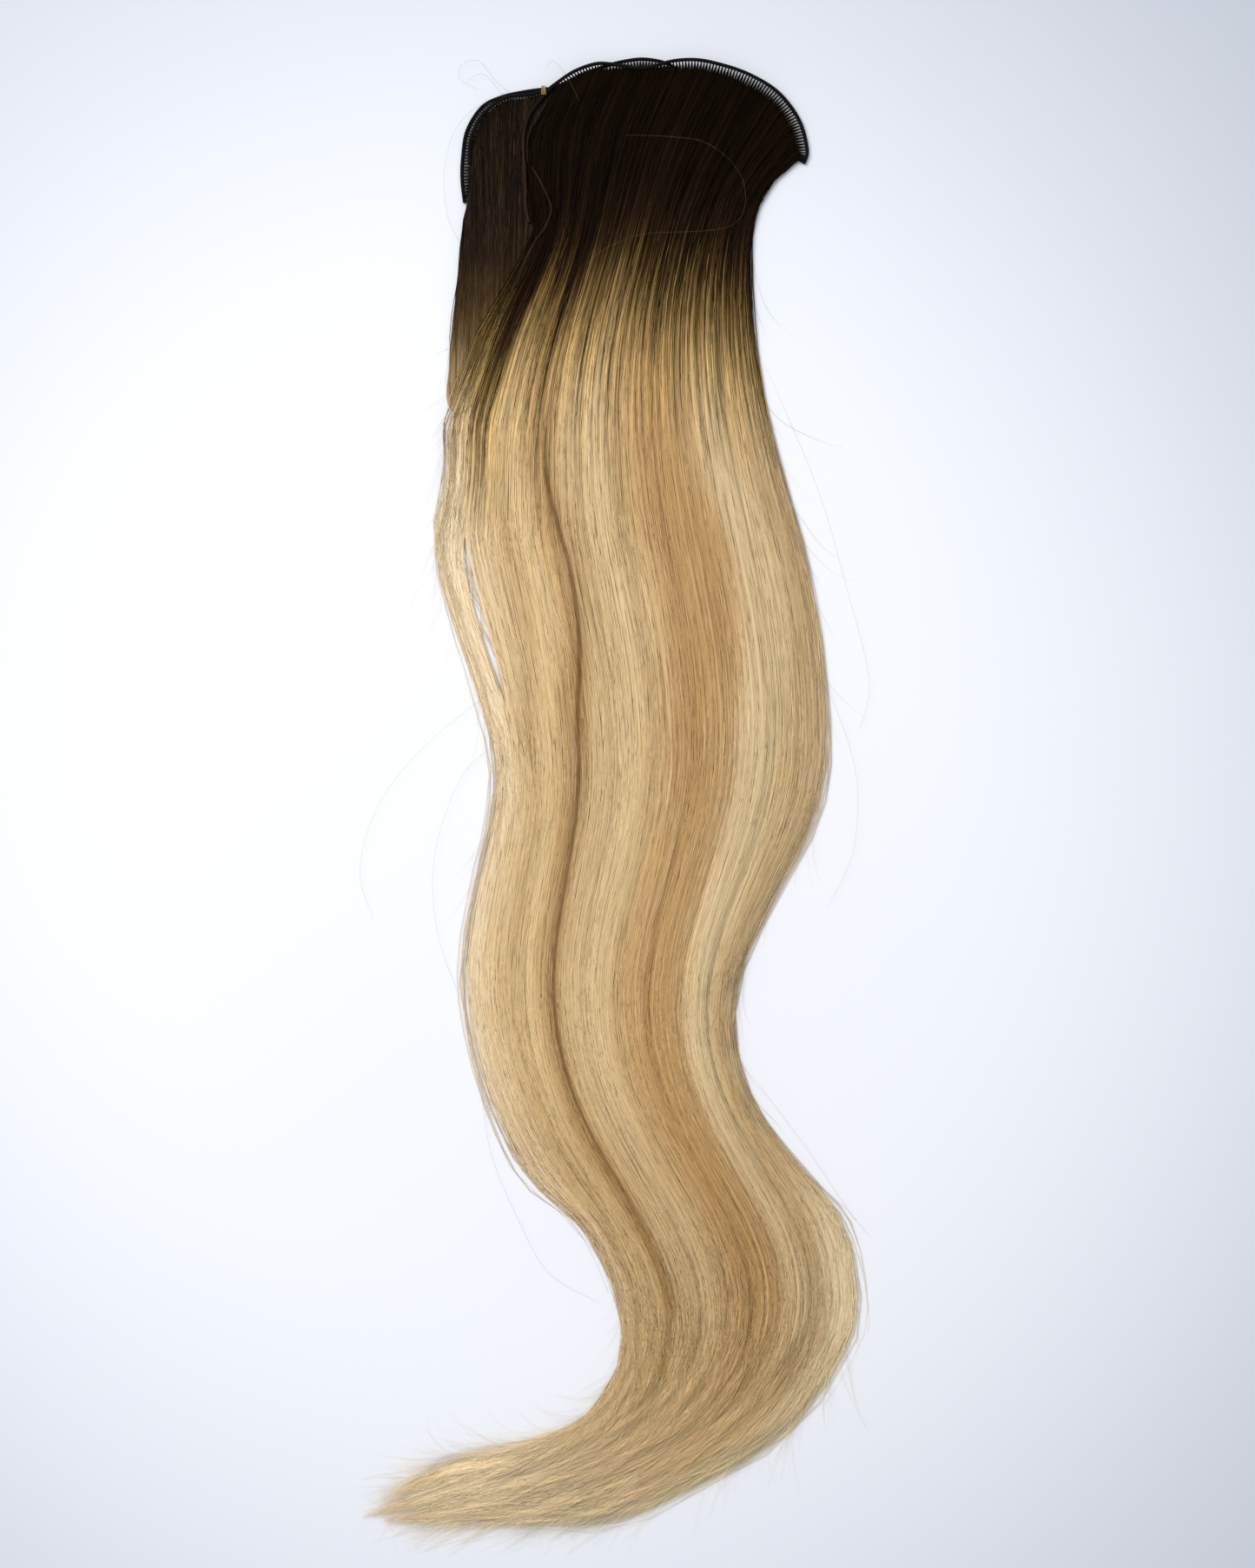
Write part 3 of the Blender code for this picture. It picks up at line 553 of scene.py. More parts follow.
def make_mesh(name, points, faces, point_values=None, flow=None, bake=None):
    """A mesh from numpy arrays. faces is a list of index arrays, one for each number of corners."""
    mesh = bpy.data.meshes.new(name)
    points = np.asarray(points, np.float32).reshape(-1, 3)
    loops = np.concatenate([f.ravel() for f in faces]).astype(np.int32)
    counts = np.concatenate([np.full(len(f), f.shape[1], np.int32) for f in faces])
    starts = np.concatenate([[0], np.cumsum(counts)[:-1]]).astype(np.int32)
    mesh.vertices.add(len(points))
    mesh.vertices.foreach_set("co", points.ravel())
    mesh.loops.add(len(loops))
    mesh.loops.foreach_set("vertex_index", loops)
    mesh.polygons.add(len(counts))
    mesh.polygons.foreach_set("loop_start", starts)
    mesh.polygons.foreach_set("use_smooth", np.ones(len(counts), bool))
    if flow is not None:
        add_uv(mesh, "Flow", flow.reshape(-1, 2)[loops])
    if bake is not None:
        add_uv(mesh, "OFBake", bake)
    if flow is not None:
        mesh.uv_layers["Flow"].active_render = True
        mesh.uv_layers.active = mesh.uv_layers["Flow"]
    for key, values in (point_values or {}).items():
        values = np.asarray(values, np.float32).ravel()
        mesh.attributes.new(key, "FLOAT", "POINT").data.foreach_set("value", values)
    mesh.update(calc_edges=True)
    mesh.validate()
    return mesh


def down_from_top(points, u, late=True):
    """How far the fade from the roots has come: distance below the upper edge, less where it starts late."""
    down = CAD_BOX[1][1] - points[..., 1]
    return down - np.interp(u, *zip(*LATE_FADE)) if late else down


def rings(paths, radii, angle):
    """Rings of points round each point of the paths, at these angles from their side."""
    tangent = np.gradient(paths, axis=-2)
    tangent /= np.maximum(np.linalg.norm(tangent, axis=-1, keepdims=True), 1e-9)
    side = np.cross(tangent, (0.0, 0.0, 1.0))
    side /= np.maximum(np.linalg.norm(side, axis=-1, keepdims=True), 1e-9)
    rise = np.cross(side, tangent)
    ring = side[..., None, :] * np.cos(angle)[:, None] + rise[..., None, :] * np.sin(angle)[:, None]
    return paths[..., None, :] + ring * radii[..., None]


def ring_faces(count, stations, sides, turned=False):
    """Sides and ends of closed tubes made of rings of points."""
    index = np.arange(count * stations * sides).reshape(count, stations, sides)
    a = index[:, :-1]
    b = index[:, 1:]
    quads = np.stack([a, np.roll(a, -1, 2), np.roll(b, -1, 2), b], -1).reshape(-1, 4)
    caps = np.concatenate([index[:, 0, ::-1], index[:, -1]])
    return [quads[:, [0, 3, 2, 1]], caps[:, ::-1]] if turned else [quads, caps]


def strand_piece(name, paths, radii, tones, flow_u, flow_v, material, slot, late=True):
    """One mesh of closed tapered tubes along many paths, with the values that their material reads."""
    order = np.argsort(flow_u[:, flow_u.shape[1] // 2])
    paths, radii, tones, flow_u, flow_v = (values[order] for values in (paths, radii, tones, flow_u, flow_v))
    count, stations = paths.shape[:2]
    sides = STRAND_SIDES
    angle = math.pi / 2 + 2 * math.pi * np.arange(sides) / sides
    points = rings(paths, radii[..., None], angle)
    flow = np.repeat(np.stack([flow_u, flow_v], -1)[:, :, None], sides, 2)
    width = 0.8 / count / sides
    s = np.arange(sides)[None, None, :, None]
    k = np.arange(stations - 1)[None, :, None, None] / stations
    x = (np.arange(count) / count)[:, None, None, None] + 0.1 / count + (s + np.array([0, 1, 1, 0])) * width + 0 * k
    y = k + np.array([0, 0, 1, 1]) / stations + 0 * x
    cap_x = np.repeat(np.arange(count) / count, sides) + np.tile(s.ravel() * width, count)
    cap_y = 0.002 * np.tile(s.ravel(), count)
    bake = [np.stack([x, y], -1).reshape(-1, 2)] + [np.stack([cap_x, cap_y + end], -1) for end in (0.0, 0.99)]
    values = {"tone": np.repeat(tones, stations * sides), "down": down_from_top(points, flow[..., 0], late)}
    faces = ring_faces(count, stations, sides)
    return new_object(make_mesh(name, points, faces, values, flow, np.concatenate(bake)), material)


def plug(socket, value, tree):
    """Link a value that comes from a node, or set a plain one."""
    value = value.socket if isinstance(value, Value) else value
    if isinstance(value, bpy.types.NodeSocket):
        tree.links.new(value, socket)
    else:
        socket.default_value = value


def add_node(tree, kind, inputs=(), **settings):
    made = tree.nodes.new(kind)
    for key, value in settings.items():
        setattr(made, key, value)
    for key, value in dict(inputs).items():
        plug(made.inputs[key], value, tree)
    return made


class Value:
    """A number that shader nodes work out. Sums and products of values add the nodes they need."""

    def __init__(self, tree, socket):
        self.tree = tree
        self.socket = socket

    def maths(self, operation, other=0.0):
        node = add_node(self.tree, "ShaderNodeMath", {0: self, 1: other}, operation=operation)
        return Value(self.tree, node.outputs[0])

    def __add__(self, other):
        return self.maths("ADD", other)

    def __sub__(self, other):
        return self.maths("SUBTRACT", other)

    def __mul__(self, other):
        return self.maths("MULTIPLY", other)

    def ramp(self, low, high, to_low=0.0, to_high=1.0, kind="SMOOTHSTEP"):
        """The value carried from one range to another and kept inside it."""
        inputs = {"Value": self, "From Min": low, "From Max": high, "To Min": to_low, "To Max": to_high}
        node = add_node(self.tree, "ShaderNodeMapRange", inputs, interpolation_type=kind)
        return Value(self.tree, node.outputs["Result"])

    def line(self, *ends):
        """Like ramp, in a straight line."""
        return self.ramp(*ends, kind="LINEAR")

    def colours(self, stops, span=1.0):
        """Colour between the stops, whose places go up to the span."""
        node = add_node(self.tree, "ShaderNodeValToRGB", {"Fac": self * (1 / span)})
        elements = node.color_ramp.elements
        elements.remove(elements[-1])
        for k, (at, colour) in enumerate(stops):
            stop = elements[0] if k == 0 else elements.new(at / span)
            stop.position = at / span
            stop.color = linear(colour)
        return node.outputs["Color"]

    def grey(self):
        inputs = dict.fromkeys(("Red", "Green", "Blue"), self)
        return add_node(self.tree, "ShaderNodeCombineColor", inputs).outputs[0]


def spread_noise(u, v, tone, across, along, detail=3.0):
    """Noise drawn out along the hair: fine across and slow along."""
    spot = add_node(u.tree, "ShaderNodeCombineXYZ", {"X": u * across, "Y": v * along, "Z": tone * 3.7})
    inputs = {"Vector": spot.outputs[0], "Scale": 1.0, "Detail": detail, "Roughness": 0.6}
    return Value(u.tree, add_node(u.tree, "ShaderNodeTexNoise", inputs).outputs["Fac"])


def mix(tree, fac, a, b, blend="MIX"):
    node = add_node(tree, "ShaderNodeMix", data_type="RGBA", blend_type=blend)
    inputs = {socket.identifier: socket for socket in node.inputs}
    for key, value in (("Factor_Float", fac), ("A_Color", a), ("B_Color", b)):
        plug(inputs[key], linear(value) if isinstance(value, tuple) else value, tree)
    return next(socket for socket in node.outputs if socket.identifier == "Result_Color")


def shader_of(name, roughness, specular):
    material = bpy.data.materials.new(name)
    material.use_nodes = True
    shader = material.node_tree.nodes["Principled BSDF"]
    shader.inputs["Roughness"].default_value = roughness
    shader.inputs["Specular IOR Level"].default_value = specular
    return material, material.node_tree, shader


def flow_values(tree):
    """Shares across and down, tone of the strand and distance below the top, as the mesh gives them."""
    flow = add_node(tree, "ShaderNodeUVMap", uv_map="Flow").outputs["UV"]
    parts = add_node(tree, "ShaderNodeSeparateXYZ", {"Vector": flow}).outputs
    own = [add_node(tree, "ShaderNodeAttribute", attribute_name=key).outputs["Fac"] for key in ("tone", "down")]
    return [Value(tree, socket) for socket in (parts["X"], parts["Y"], *own)]


def add_bump(tree, shader, height, strength, distance):
    bump = add_node(tree, "ShaderNodeBump", {"Height": height, "Strength": strength, "Distance": distance})
    tree.links.new(bump.outputs["Normal"], shader.inputs["Normal"])


def bundle_hair(name, bumpy):
    """Dark roots that fade to streaked blond. Painted shade runs down the valley between locks, painted sheen lies
    on the roots, and painted light pales the tail's right edge and, in part, its tip.
    """
    found = bpy.data.materials.get(name)
    if found:
        return found
    material, tree, shader = shader_of(name, bpy.context.scene.weft_looks.gloss_roughness, 0.42)
    u, v, tone, down = flow_values(tree)
    broad = spread_noise(u, v, tone, 46.0, 2.2)
    streak = spread_noise(u, v, tone, 170.0, 3.5)
    fine = spread_noise(u, v, tone, 620.0, 9.0, 2.0)
    wander = (spread_noise(u, v, 0.0, 4.0, 5.0, 2.0) - 0.5) * 0.07
    course = u + v.ramp(0.23, 0.31, 0, -0.05) * v.ramp(0.32, 0.41, 1, 0)
    # Painted shade: a dark line down the valley between two locks, where shade falls
    valley = (course + wander * 0.4 - 0.280).maths("ABSOLUTE").ramp(0.003, 0.011, 0.75, 0)
    tail = v.ramp(TAIL_START, 0.86, 0, 0.74)
    colour = (course + wander + tone * 0.018).colours(BLOND_STRIPES)
    for share, tint in (
        (broad.ramp(0.50, 0.72, 0, 0.55), (150, 115, 66)),
        (streak.ramp(0.52, 0.75, 0, 0.55), (232, 214, 178)),
        (u.ramp(0.035, 0.080, 0.60, 0) * v.ramp(0.16, 0.26) * v.ramp(0.38, 0.48, 1, 0), (234, 217, 184)),
        # painted shade of the valley
        (valley * v.ramp(0.18, 0.24) * v.ramp(0.62, 0.76, 1, 0.2), (112, 80, 43)),
        (v.ramp(0.58, 0.68, 0, 0.26), (162, 126, 72)),
        (tail, (230, 200, 146)),
        # Painted light: the tail's right edge is made paler, as light through its thin hair and to lift the side
        # turned from the lamp
        (u.ramp(0.86, 0.985, 0, 0.80) * v.ramp(0.64, 0.76), (246, 230, 192)),
        # Paler tip: partly the ends' own lighter colour, partly painted light shining through the thin hair
        (v.ramp(0.78, 0.96, 0, 0.85), (240, 222, 186)),
    ):
        colour = mix(tree, share, colour, tint)
    fade = down + (spread_noise(u, v, tone, 75.0, 3.0) - 0.5) * 0.062 + tone * 0.010
    blond = fade.ramp(0.090, 0.152)
    colour = mix(tree, blond, fade.colours(ROOT_FADE, FADE_RANGE), colour)
    light = streak * 0.45 + fine * 0.55 + tone * 0.05
    # Painted sheen: the roots' strand highlights are painted into their colour as a wide spread of brightness, with
    # their clumps' own tone
    root_tone_and_sheen = (light * 0.5 + spread_noise(u, v, 0.0, 72.0, 6.0) * 0.5).line(0.40, 0.61, 0.20, 2.50)
    shade = root_tone_and_sheen + (light.line(0.30, 0.68, 0.86, 1.30) - root_tone_and_sheen) * blond
    crossed = spread_noise(u + v * 2.2, v, 0.0, 24.0, 8.0) + spread_noise(u - v * 1.8, v, 0.5, 28.0, 8.0)
    shade = shade + crossed.line(0.72, 1.28, -0.36, 0.36) * tail
    tree.links.new(mix(tree, 1.0, colour, shade.grey(), "MULTIPLY"), shader.inputs["Base Color"])
    plug(shader.inputs["Specular IOR Level"], blond.line(0, 1, 0.018, 0.26), tree)
    if bumpy:
        add_bump(tree, shader, streak + fine * 0.5, 0.55, 0.0004)
    return material


def lower_hair(name="lower_layer_hair"):
    """Cool brown hair of the lower layers, with a few lighter hairs and a fade at its lower end."""
    found = bpy.data.materials.get(name)
    if found:
        return found
    material, tree, shader = shader_of(name, 0.46, 0.04)
    u, v, tone, down = flow_values(tree)
    streak = spread_noise(u, v, tone, 120.0, 2.0)
    fine = spread_noise(u, v, tone, 500.0, 6.0, 2.0)
    colour = mix(tree, streak.ramp(0.48, 0.72, 0, 0.44), down.colours(LOWER_FADE, FADE_RANGE), (112, 86, 50))
    stripe = (u + tone * 0.03).colours([(at, (grey, grey, grey)) for at, grey in LOWER_STRIPES])
    for shade in (stripe, fine.line(0.3, 0.7, 1.1, 1.9).grey()):
        colour = mix(tree, 1.0, colour, shade, "MULTIPLY")
    tree.links.new(colour, shader.inputs["Base Color"])
    return material


def thread_material(name, dark, light, scale, roughness, worn=False):
    """Twisted thread: fine fibres in two tones, with a little bump. Worn thread is brown down the fold."""
    found = bpy.data.materials.get(name)
    if found:
        return found
    material, tree, shader = shader_of(name, roughness, 0.06)
    spot = add_node(tree, "ShaderNodeTexCoord").outputs["Object"]
    inputs = {"Vector": spot, "Scale": scale, "Detail": 4.0, "Roughness": 0.7}
    fibre = Value(tree, add_node(tree, "ShaderNodeTexNoise", inputs).outputs["Fac"])
    colour = fibre.colours([(0.30, dark), (0.72, light)])
    if worn:
        parts = add_node(tree, "ShaderNodeSeparateXYZ", {"Vector": spot}).outputs
        left = Value(tree, parts["X"]).ramp(-0.010, 0.010, 1, 0)
        fold = Value(tree, parts["Y"]).ramp(0.228, 0.245, 1, 0)
        colour = mix(tree, left * fold, colour, fibre.colours([(0.30, (20, 13, 8)), (0.72, (58, 40, 24))]))
    tree.links.new(colour, shader.inputs["Base Color"])
    add_bump(tree, shader, fibre, 0.5, 0.0002)
    return material


def body_mesh(name, layer, columns, stations, end, fine=1.0):
    """Closed body of a layer from its rim down: a ridged top, a flatter underside and thin sides."""
    across = np.linspace(0, 1, columns)
    down = np.linspace(layer.rim, end, stations)
    split = None
    if layer.slit is not None:
        split = int(np.argmin(np.abs(across - SLIT_SHARE)))
        across[split] = SLIT_SHARE - 1e-7
        across = np.insert(across, split + 1, SLIT_SHARE + 1e-7)
        columns += 1
    u, v = np.meshgrid(across, down)
    top = layer.top(u, v, fine)
    low = layer.low(u, v)
    thinned = 1 - 0.8 * ease((v - end + 0.14) / 0.14)
    top[..., 2] = low[..., 2] + (top[..., 2] - low[..., 2]) * thinned
    top[..., 2] = np.maximum(top[..., 2] - BODY_SINK, low[..., 2] + LEAST_EDGE / 2)
    low[..., 2] += 0.00004 + 0.00010 * (1 + ripple(u, v, 60, 5)) * np.minimum(1, 4 * u * (1 - u))
    low[..., 2] = np.maximum(low[..., 2], 0.00002)
    points = np.concatenate([top.reshape(-1, 3), low.reshape(-1, 3)])
    index = np.arange(columns * stations).reshape(stations, columns)
    under = index + columns * stations
    c = np.arange(columns - 1)
    if split is not None:
        shut = layer.slit_half(down) < 1e-5
        for sheet in (index, under):
            sheet[shut, split + 1] = sheet[shut, split]
        c = np.delete(c, split)
    quads = [
        (index[:-1, c], index[1:, c], index[1:, c + 1], index[:-1, c + 1]),
        (under[:-1, c], under[:-1, c + 1], under[1:, c + 1], under[1:, c]),
        (index[:-1, 0], under[:-1, 0], under[1:, 0], index[1:, 0]),
        (index[:-1, -1], index[1:, -1], under[1:, -1], under[:-1, -1]),
        (index[0, c], index[0, c + 1], under[0, c + 1], under[0, c]),
        (index[-1, c], under[-1, c], under[-1, c + 1], index[-1, c + 1]),
    ]
    if split is not None:
        r = np.where(~(shut[:-1] & shut[1:]))[0]
        k = split + 1
        quads.append((index[r, split], index[r + 1, split], under[r + 1, split], under[r, split]))
        quads.append((index[r, k], under[r, k], under[r + 1, k], index[r + 1, k]))
    faces = np.concatenate([np.stack(corners, -1).reshape(-1, 4) for corners in quads])
    flow = np.concatenate([np.stack([u, v], -1).reshape(-1, 2)] * 2)
    bake = [np.stack([a + b * u, v], -1).reshape(-1, 2) for a, b in ((0.01, 0.60), (0.64, 0.34))]
    used, faces = np.unique(faces, return_inverse=True)
    points, flow, bake = points[used], flow[used], np.concatenate(bake)[used]
    values = {"tone": np.zeros(len(points)), "down": down_from_top(points, flow[:, 0], layer.slit is not None)}
    return make_mesh(name, points, [faces.reshape(-1, 4)], values, flow, bake[faces.ravel()])


def comb_mesh(name, layer, pitch, first, last, thickness=0.0006):
    """Root strands: one flat tuft for each stitch, narrow at the cord and full at the hair's rim."""
    stations, half_widths, lifts = np.array(TUFT).T
    count = int(distances(layer.grid[0, :, :2])[-1] * (last - first) / pitch)
    share = (last - first) / count
    middle = first + share * (np.arange(count) + 0.5)
    rng = np.random.default_rng(7)
    lean = rng.normal(0, 0.05, count)[:, None] * share
    u = middle[:, None] + lean * stations
    v = np.broadcast_to(stations * layer.rim, u.shape)
    left, right = (layer.top(u + way * half_widths * share, v, 0.0) for way in (-1, 1))
    for side in (left, right):
        side[..., 2] = layer.low(u, v)[..., 2] + BAND_RADIUS * 0.8 + lifts * thickness
    crown = (left + right) / 2
    keel = crown.copy()
    crown[..., 2] += 0.30 * thickness
    keel[..., 2] -= 0.45 * thickness
    ring = np.stack([left, crown, right, keel], 2)
    flow = np.repeat(np.stack([u, v], -1).reshape(-1, 2), 4, 0)
    tones = np.repeat(rng.uniform(-1, 1, count), len(stations) * 4)
    values = {"tone": tones, "down": down_from_top(ring.reshape(-1, 3), flow[:, 0], layer.slit is not None)}
    return make_mesh(name, ring, ring_faces(count, len(stations), 4, True), values, flow), middle


def flow_strands(layer, count, stations, seed, start, end, radius, teeth=None, fringe=0.0, stray=0.010):
    """Paths of many strands that lie on a layer and drift a little across it."""
    rng = np.random.default_rng(seed)
    u0 = (np.arange(count) + rng.uniform(0, 1, count)) / count
    rng.shuffle(u0)
    v0 = rng.uniform(*start, count)[:, None]
    v1 = rng.uniform(*end, count)[:, None]
    rim = layer.rim
    t = np.linspace(0, 1, stations)
    if teeth is None:
        v = v0 + (v1 - v0) * t
    else:
        near = np.array(COMB_STATIONS) * rim
        far = near[-1] + (v1 - near[-1]) * np.linspace(0, 1, stations - len(near) + 1)[1:]
        v = np.concatenate([np.broadcast_to(near, (count, len(near))), far], 1)
    sway = np.zeros_like(v)
    for waves in (0.7, 1.6, 3.1):
        size = rng.normal(0, stray / waves, count)[:, None]
        turn = 2 * math.pi * waves * rng.uniform(0.7, 1.3, count)[:, None]
        sway += size * np.sin(turn * v + rng.uniform(0, 6.3, count)[:, None])
    u = u0[:, None] + sway * np.clip((v - 1.5 * rim) / 0.12, 0, 1)
    if teeth is not None:
        nearest = teeth[np.argmin(np.abs(u0[:, None] - teeth), 1)][:, None]
        gather = np.minimum(1, 0.20 + 0.80 * (v / rim / 0.82) ** 2.0)
        gather = np.maximum(gather, ease((np.abs(2 * u0 - 1) - 0.93) / 0.04)[:, None])
        u = np.where(v < rim, nearest + (u0[:, None] - nearest) * gather, u)
    if fringe:
        outward = np.sign(u0 - 0.5)[:, None] * np.abs(rng.normal(0, fringe, count))[:, None]
        edge = np.clip(np.abs(2 * u0 - 1)[:, None] * 1.6 - 0.6, 0, 1)
        u = u + outward * edge * np.clip((t - 0.45) / 0.55, 0, 1) ** 2
    height = rng.uniform(-0.00008, 0.00022, count)[:, None]
    height = height + 0.00006 * np.sin(9 * v + rng.uniform(0, 6.3, count)[:, None])
    ends = np.minimum(1, 6 * (np.minimum(t, 1 - t) if teeth is None else 1 - t))
    paths = layer.top(u, v, 0.0)
    outside = np.clip(np.maximum(-u, u - 1) * 40, 0, 1)
    low = layer.low(u, v)[..., 2]
    paths[..., 2] = paths[..., 2] * (1 - outside) + (low + 0.0004) * outside
    paths[..., 2] += height * ends - 0.0003 * (1 - ends)
    taper = np.clip(5 * (1 - t), 0.2, 1)
    if teeth is None:
        taper = taper * np.clip(8 * t, 0.25, 1)
    else:
        taper = taper * np.clip(0.5 + 0.5 * v / (2 * rim), 0.5, 1)
        at_cord = np.clip(1 - v / rim, 0, 1)
        paths[..., 2] = paths[..., 2] * (1 - at_cord) + (low + BAND_RADIUS * 1.1) * at_cord
    paths[..., 2] = np.maximum(paths[..., 2], 0.0002)
    size = rng.uniform(0.75, 1.25, count)[:, None] * radius
    return paths, size * taper, rng.uniform(-1, 1, count), u, v


class Ground:
    """Height of the hair's upper side at any spot, or of the table beside it."""

    def __init__(self, layer):
        u, v = np.meshgrid(np.linspace(0, 1, 90), np.linspace(layer.rim, 1, 240))
        self.points = layer.top(u, v).reshape(-1, 3)
        self.u = u.ravel()
        self.v = v.ravel()
        self.tree = KDTree(len(self.points))
        for k, point in enumerate(self.points):
            self.tree.insert((point[0], point[1], 0.0), k)
        self.tree.balance()

    def under(self, paths):
        """Height, share across and share down below each point of the paths."""
        shape = paths.shape[:-1]
        found = [self.tree.find((x, y, 0.0)) for x, y in paths.reshape(-1, 2)]
        index = np.array([f[1] for f in found]).reshape(shape)
        away = np.array([f[2] for f in found]).reshape(shape)
        height = self.points[index, 2] * np.clip(1 - (away - 0.0012) / 0.002, 0, 1)
        return height, self.u[index], self.v[index]


def smooth(values, times):
    """Values along each path, evened out so that a hair bends gently."""
    for _ in range(times):
        pad = np.concatenate([values[:, :1], values, values[:, -1:]], 1)
        values = np.maximum((pad[:, :-2] + pad[:, 1:-1] + pad[:, 2:]) / 3, 0)
    return values


def near_weft(rng, xy, z, radius, u, v):
    """Paths, radii, tones and flow of loose strands, without those that reach too far past the weft."""
    low, high = (np.array(CAD_BOX[k][:2]) + way * np.array(LOOSE_MARGIN) for k, way in ((0, -1), (1, 1)))
    kept = np.all((xy > low) & (xy < high), axis=(1, 2))
    count, stations = xy.shape[:2]
    paths = np.concatenate([xy, z[..., None]], -1)
    size = rng.uniform(0.7, 1.3, count)[:, None] * radius * np.clip(3 * (1 - np.linspace(0, 1, stations)), 0.3, 1)
    return paths[kept], size[kept], rng.uniform(-1, 1, count)[kept], u[kept], v[kept]


def wisps(layer, ground, u0, v0, lengths, spread, seed, radius, bend, turned=0.0, stations=11):
    """Single hairs that leave the flow of the layer at an angle and bend on their own."""
    rng = np.random.default_rng(seed)
    count = len(u0)
    start = layer.top(u0, v0)
    ahead = layer.top(u0, np.minimum(v0 + 0.01, 1.02)) - start
    heading = np.arctan2(ahead[:, 1], ahead[:, 0]) + rng.normal(0, spread, count) + turned
    bend = rng.normal(0, bend, count)
    t = np.linspace(0, 1, stations)
    way = heading[:, None] + (bend * lengths)[:, None] * t
    way = way + 0.10 * np.sin(9 * t + rng.uniform(0, 6.3, count)[:, None])
    step = (lengths / (stations - 1))[:, None]
    move = np.stack([np.cos(way), np.sin(way)], -1) * step[..., None]
    xy = start[:, None, :2] + np.cumsum(move, 1) - move[:, :1]
    height, u, v = ground.under(xy)
    rise = rng.uniform(0.0001, 0.0006, count)[:, None]
    rise = rise + rng.uniform(0, 0.0008, count)[:, None] * np.sin(math.pi * t)
    return near_weft(rng, xy, smooth(height, 4) + rise, radius, u, v)


def tip_strands(ground, each, radius, stations=12):
    """Strands of the tip's locks, close together at the tip and ending at uneven lengths."""
    rng = np.random.default_rng(61)
    routes = []
    for lock in TIP_LOCKS:
        line = curve(np.reshape(lock[:6], (3, 2)), 40)
        way = line[-1] - line[0]
        aside = np.array([-way[1], way[0]]) / np.linalg.norm(way)
        for _ in range(each):
            finish = rng.uniform(0.62, 1.02)
            at = np.linspace(0, min(finish, 1.0), stations) * (len(line) - 1)
            spot = read_at(line, np.arange(len(line)), at)
            share = np.linspace(0, 1, stations)[:, None]
            offset = rng.normal(0, 0.0024 * lock[6])
            drift = rng.normal(0, 0.0009)
            routes.append(spot + aside * (offset * (1 - 0.65 * share) + drift * share**2))
    xy = np.stack(routes)
    height, u, v = ground.under(xy)
    z = smooth(height, 3) + rng.uniform(0.0001, 0.0008, len(xy))[:, None]
    return near_weft(rng, xy, z, radius, u, np.maximum(v, 0.9))


def rope(points, radius, turns, relief, sides=10, swell=1.0):
    """Closed cord whose wound thread stands out as ridges that turn about it."""
    total = distances(points)
    angle = 2 * math.pi * np.arange(sides) / sides
    phase = 2 * math.pi * turns * total[:, None] / total[-1]
    size = radius * (1 - relief / 2 + relief / 2 * np.sin(phase + angle)) * np.reshape(swell, (-1, 1))
    return rings(points, size, angle).reshape(-1, 3), ring_faces(1, len(points), sides, True)


def merged_mesh(name, parts):
    """One mesh of several closed parts, each given as points and its list of face arrays."""
    starts = np.cumsum([0] + [len(points) for points, _ in parts])
    faces = [np.concatenate([own[k] + start for (_, own), start in zip(parts, starts)]) for k in range(2)]
    return make_mesh(name, np.concatenate([points for points, _ in parts]), faces)


def rope_on(ground, line, radius, knots):
    """Twisted thread that lies on the hair along a line, thicker at its knots."""
    height = ground.under(line[None])[0]
    line = np.column_stack([line, smooth(height, 12)[0] + radius + 0.0002])
    swell = 0.75 + 0.5 * np.clip(knots, 0, 1) + 0.12 * np.sin(np.arange(len(line)) * 1.3)
    return rope(line, radius, len(line) / 5, 0.35, 8, swell)


class WeftHair(PropertyGroup):
    """How much hair is laid, and how thick each strand is."""

    strand_radius: FloatProperty(
        name="Strand radius", description="Radius of one visible strand", default=0.00016,
        min=0.00005, max=0.001, precision=5, unit="LENGTH",
    )
    root_strands: IntProperty(
        name="Root strands", description="Strands that start at the front comb", default=860, min=10, max=1000,
    )
    length_strands: IntProperty(
        name="Length strands", description="Strands along the bundle, in each of two layers", default=860,
        min=10, max=1000,
    )
    lower_strands: IntProperty(
        name="Lower strands", description="Strands on each lower layer", default=420, min=10, max=1000,
    )
    comb_pitch: FloatProperty(
        name="Comb pitch", description="Distance from one root tuft to the next along the sewn edge",
        default=0.00112, min=0.0005, max=0.005, precision=5, unit="LENGTH",
    )
    tail_wisps: IntProperty(
        name="Tail wisps", description="Single hairs that fray the end of the tail", default=1400, min=10, max=2500,
    )
    tip_strands: IntProperty(
        name="Tip strands", description="Strands in each of the tip's locks", default=80, min=5, max=300,
    )
    fringe_wisps: IntProperty(
        name="Fringe wisps", description="Very fine hairs along the tail's edges", default=1100, min=10, max=3000,
    )
    side_wisps: IntProperty(
        name="Side wisps", description="Single hairs that stand off along both sides", default=420, min=10, max=1000,
    )
    loose_radius: FloatProperty(
        name="Loose hair radius", description="Radius of a single loose hair", default=0.00008,
        min=0.00003, max=0.0005, precision=5, unit="LENGTH",
    )


class WeftLooks(PropertyGroup):
    """Finish of the hair and colour of the table."""

    gloss_roughness: FloatProperty(
        name="Hair roughness", description="Roughness of the hair's surface", default=0.44, min=0.0, max=1.0,
        subtype="FACTOR",
    )
    table_colour: FloatVectorProperty(
        name="Table colour", description="Colour of the table under the weft", subtype="COLOR", size=3,
        default=(0.80, 0.815, 0.865), min=0.0, max=1.0,
    )
    # Painted light: how much of the table's colour is kept as painted shade far from its brightest spot
    painted_table_falloff: FloatProperty(
        name="Table falloff", description="How bright the table still is far from its brightest spot", default=0.60,
        min=0.1, max=1.0, subtype="FACTOR",
    )
    lamp_power: FloatProperty(
        name="Lamp power", description="Power of the large softbox", default=26.0, min=0.0, unit="POWER",
    )


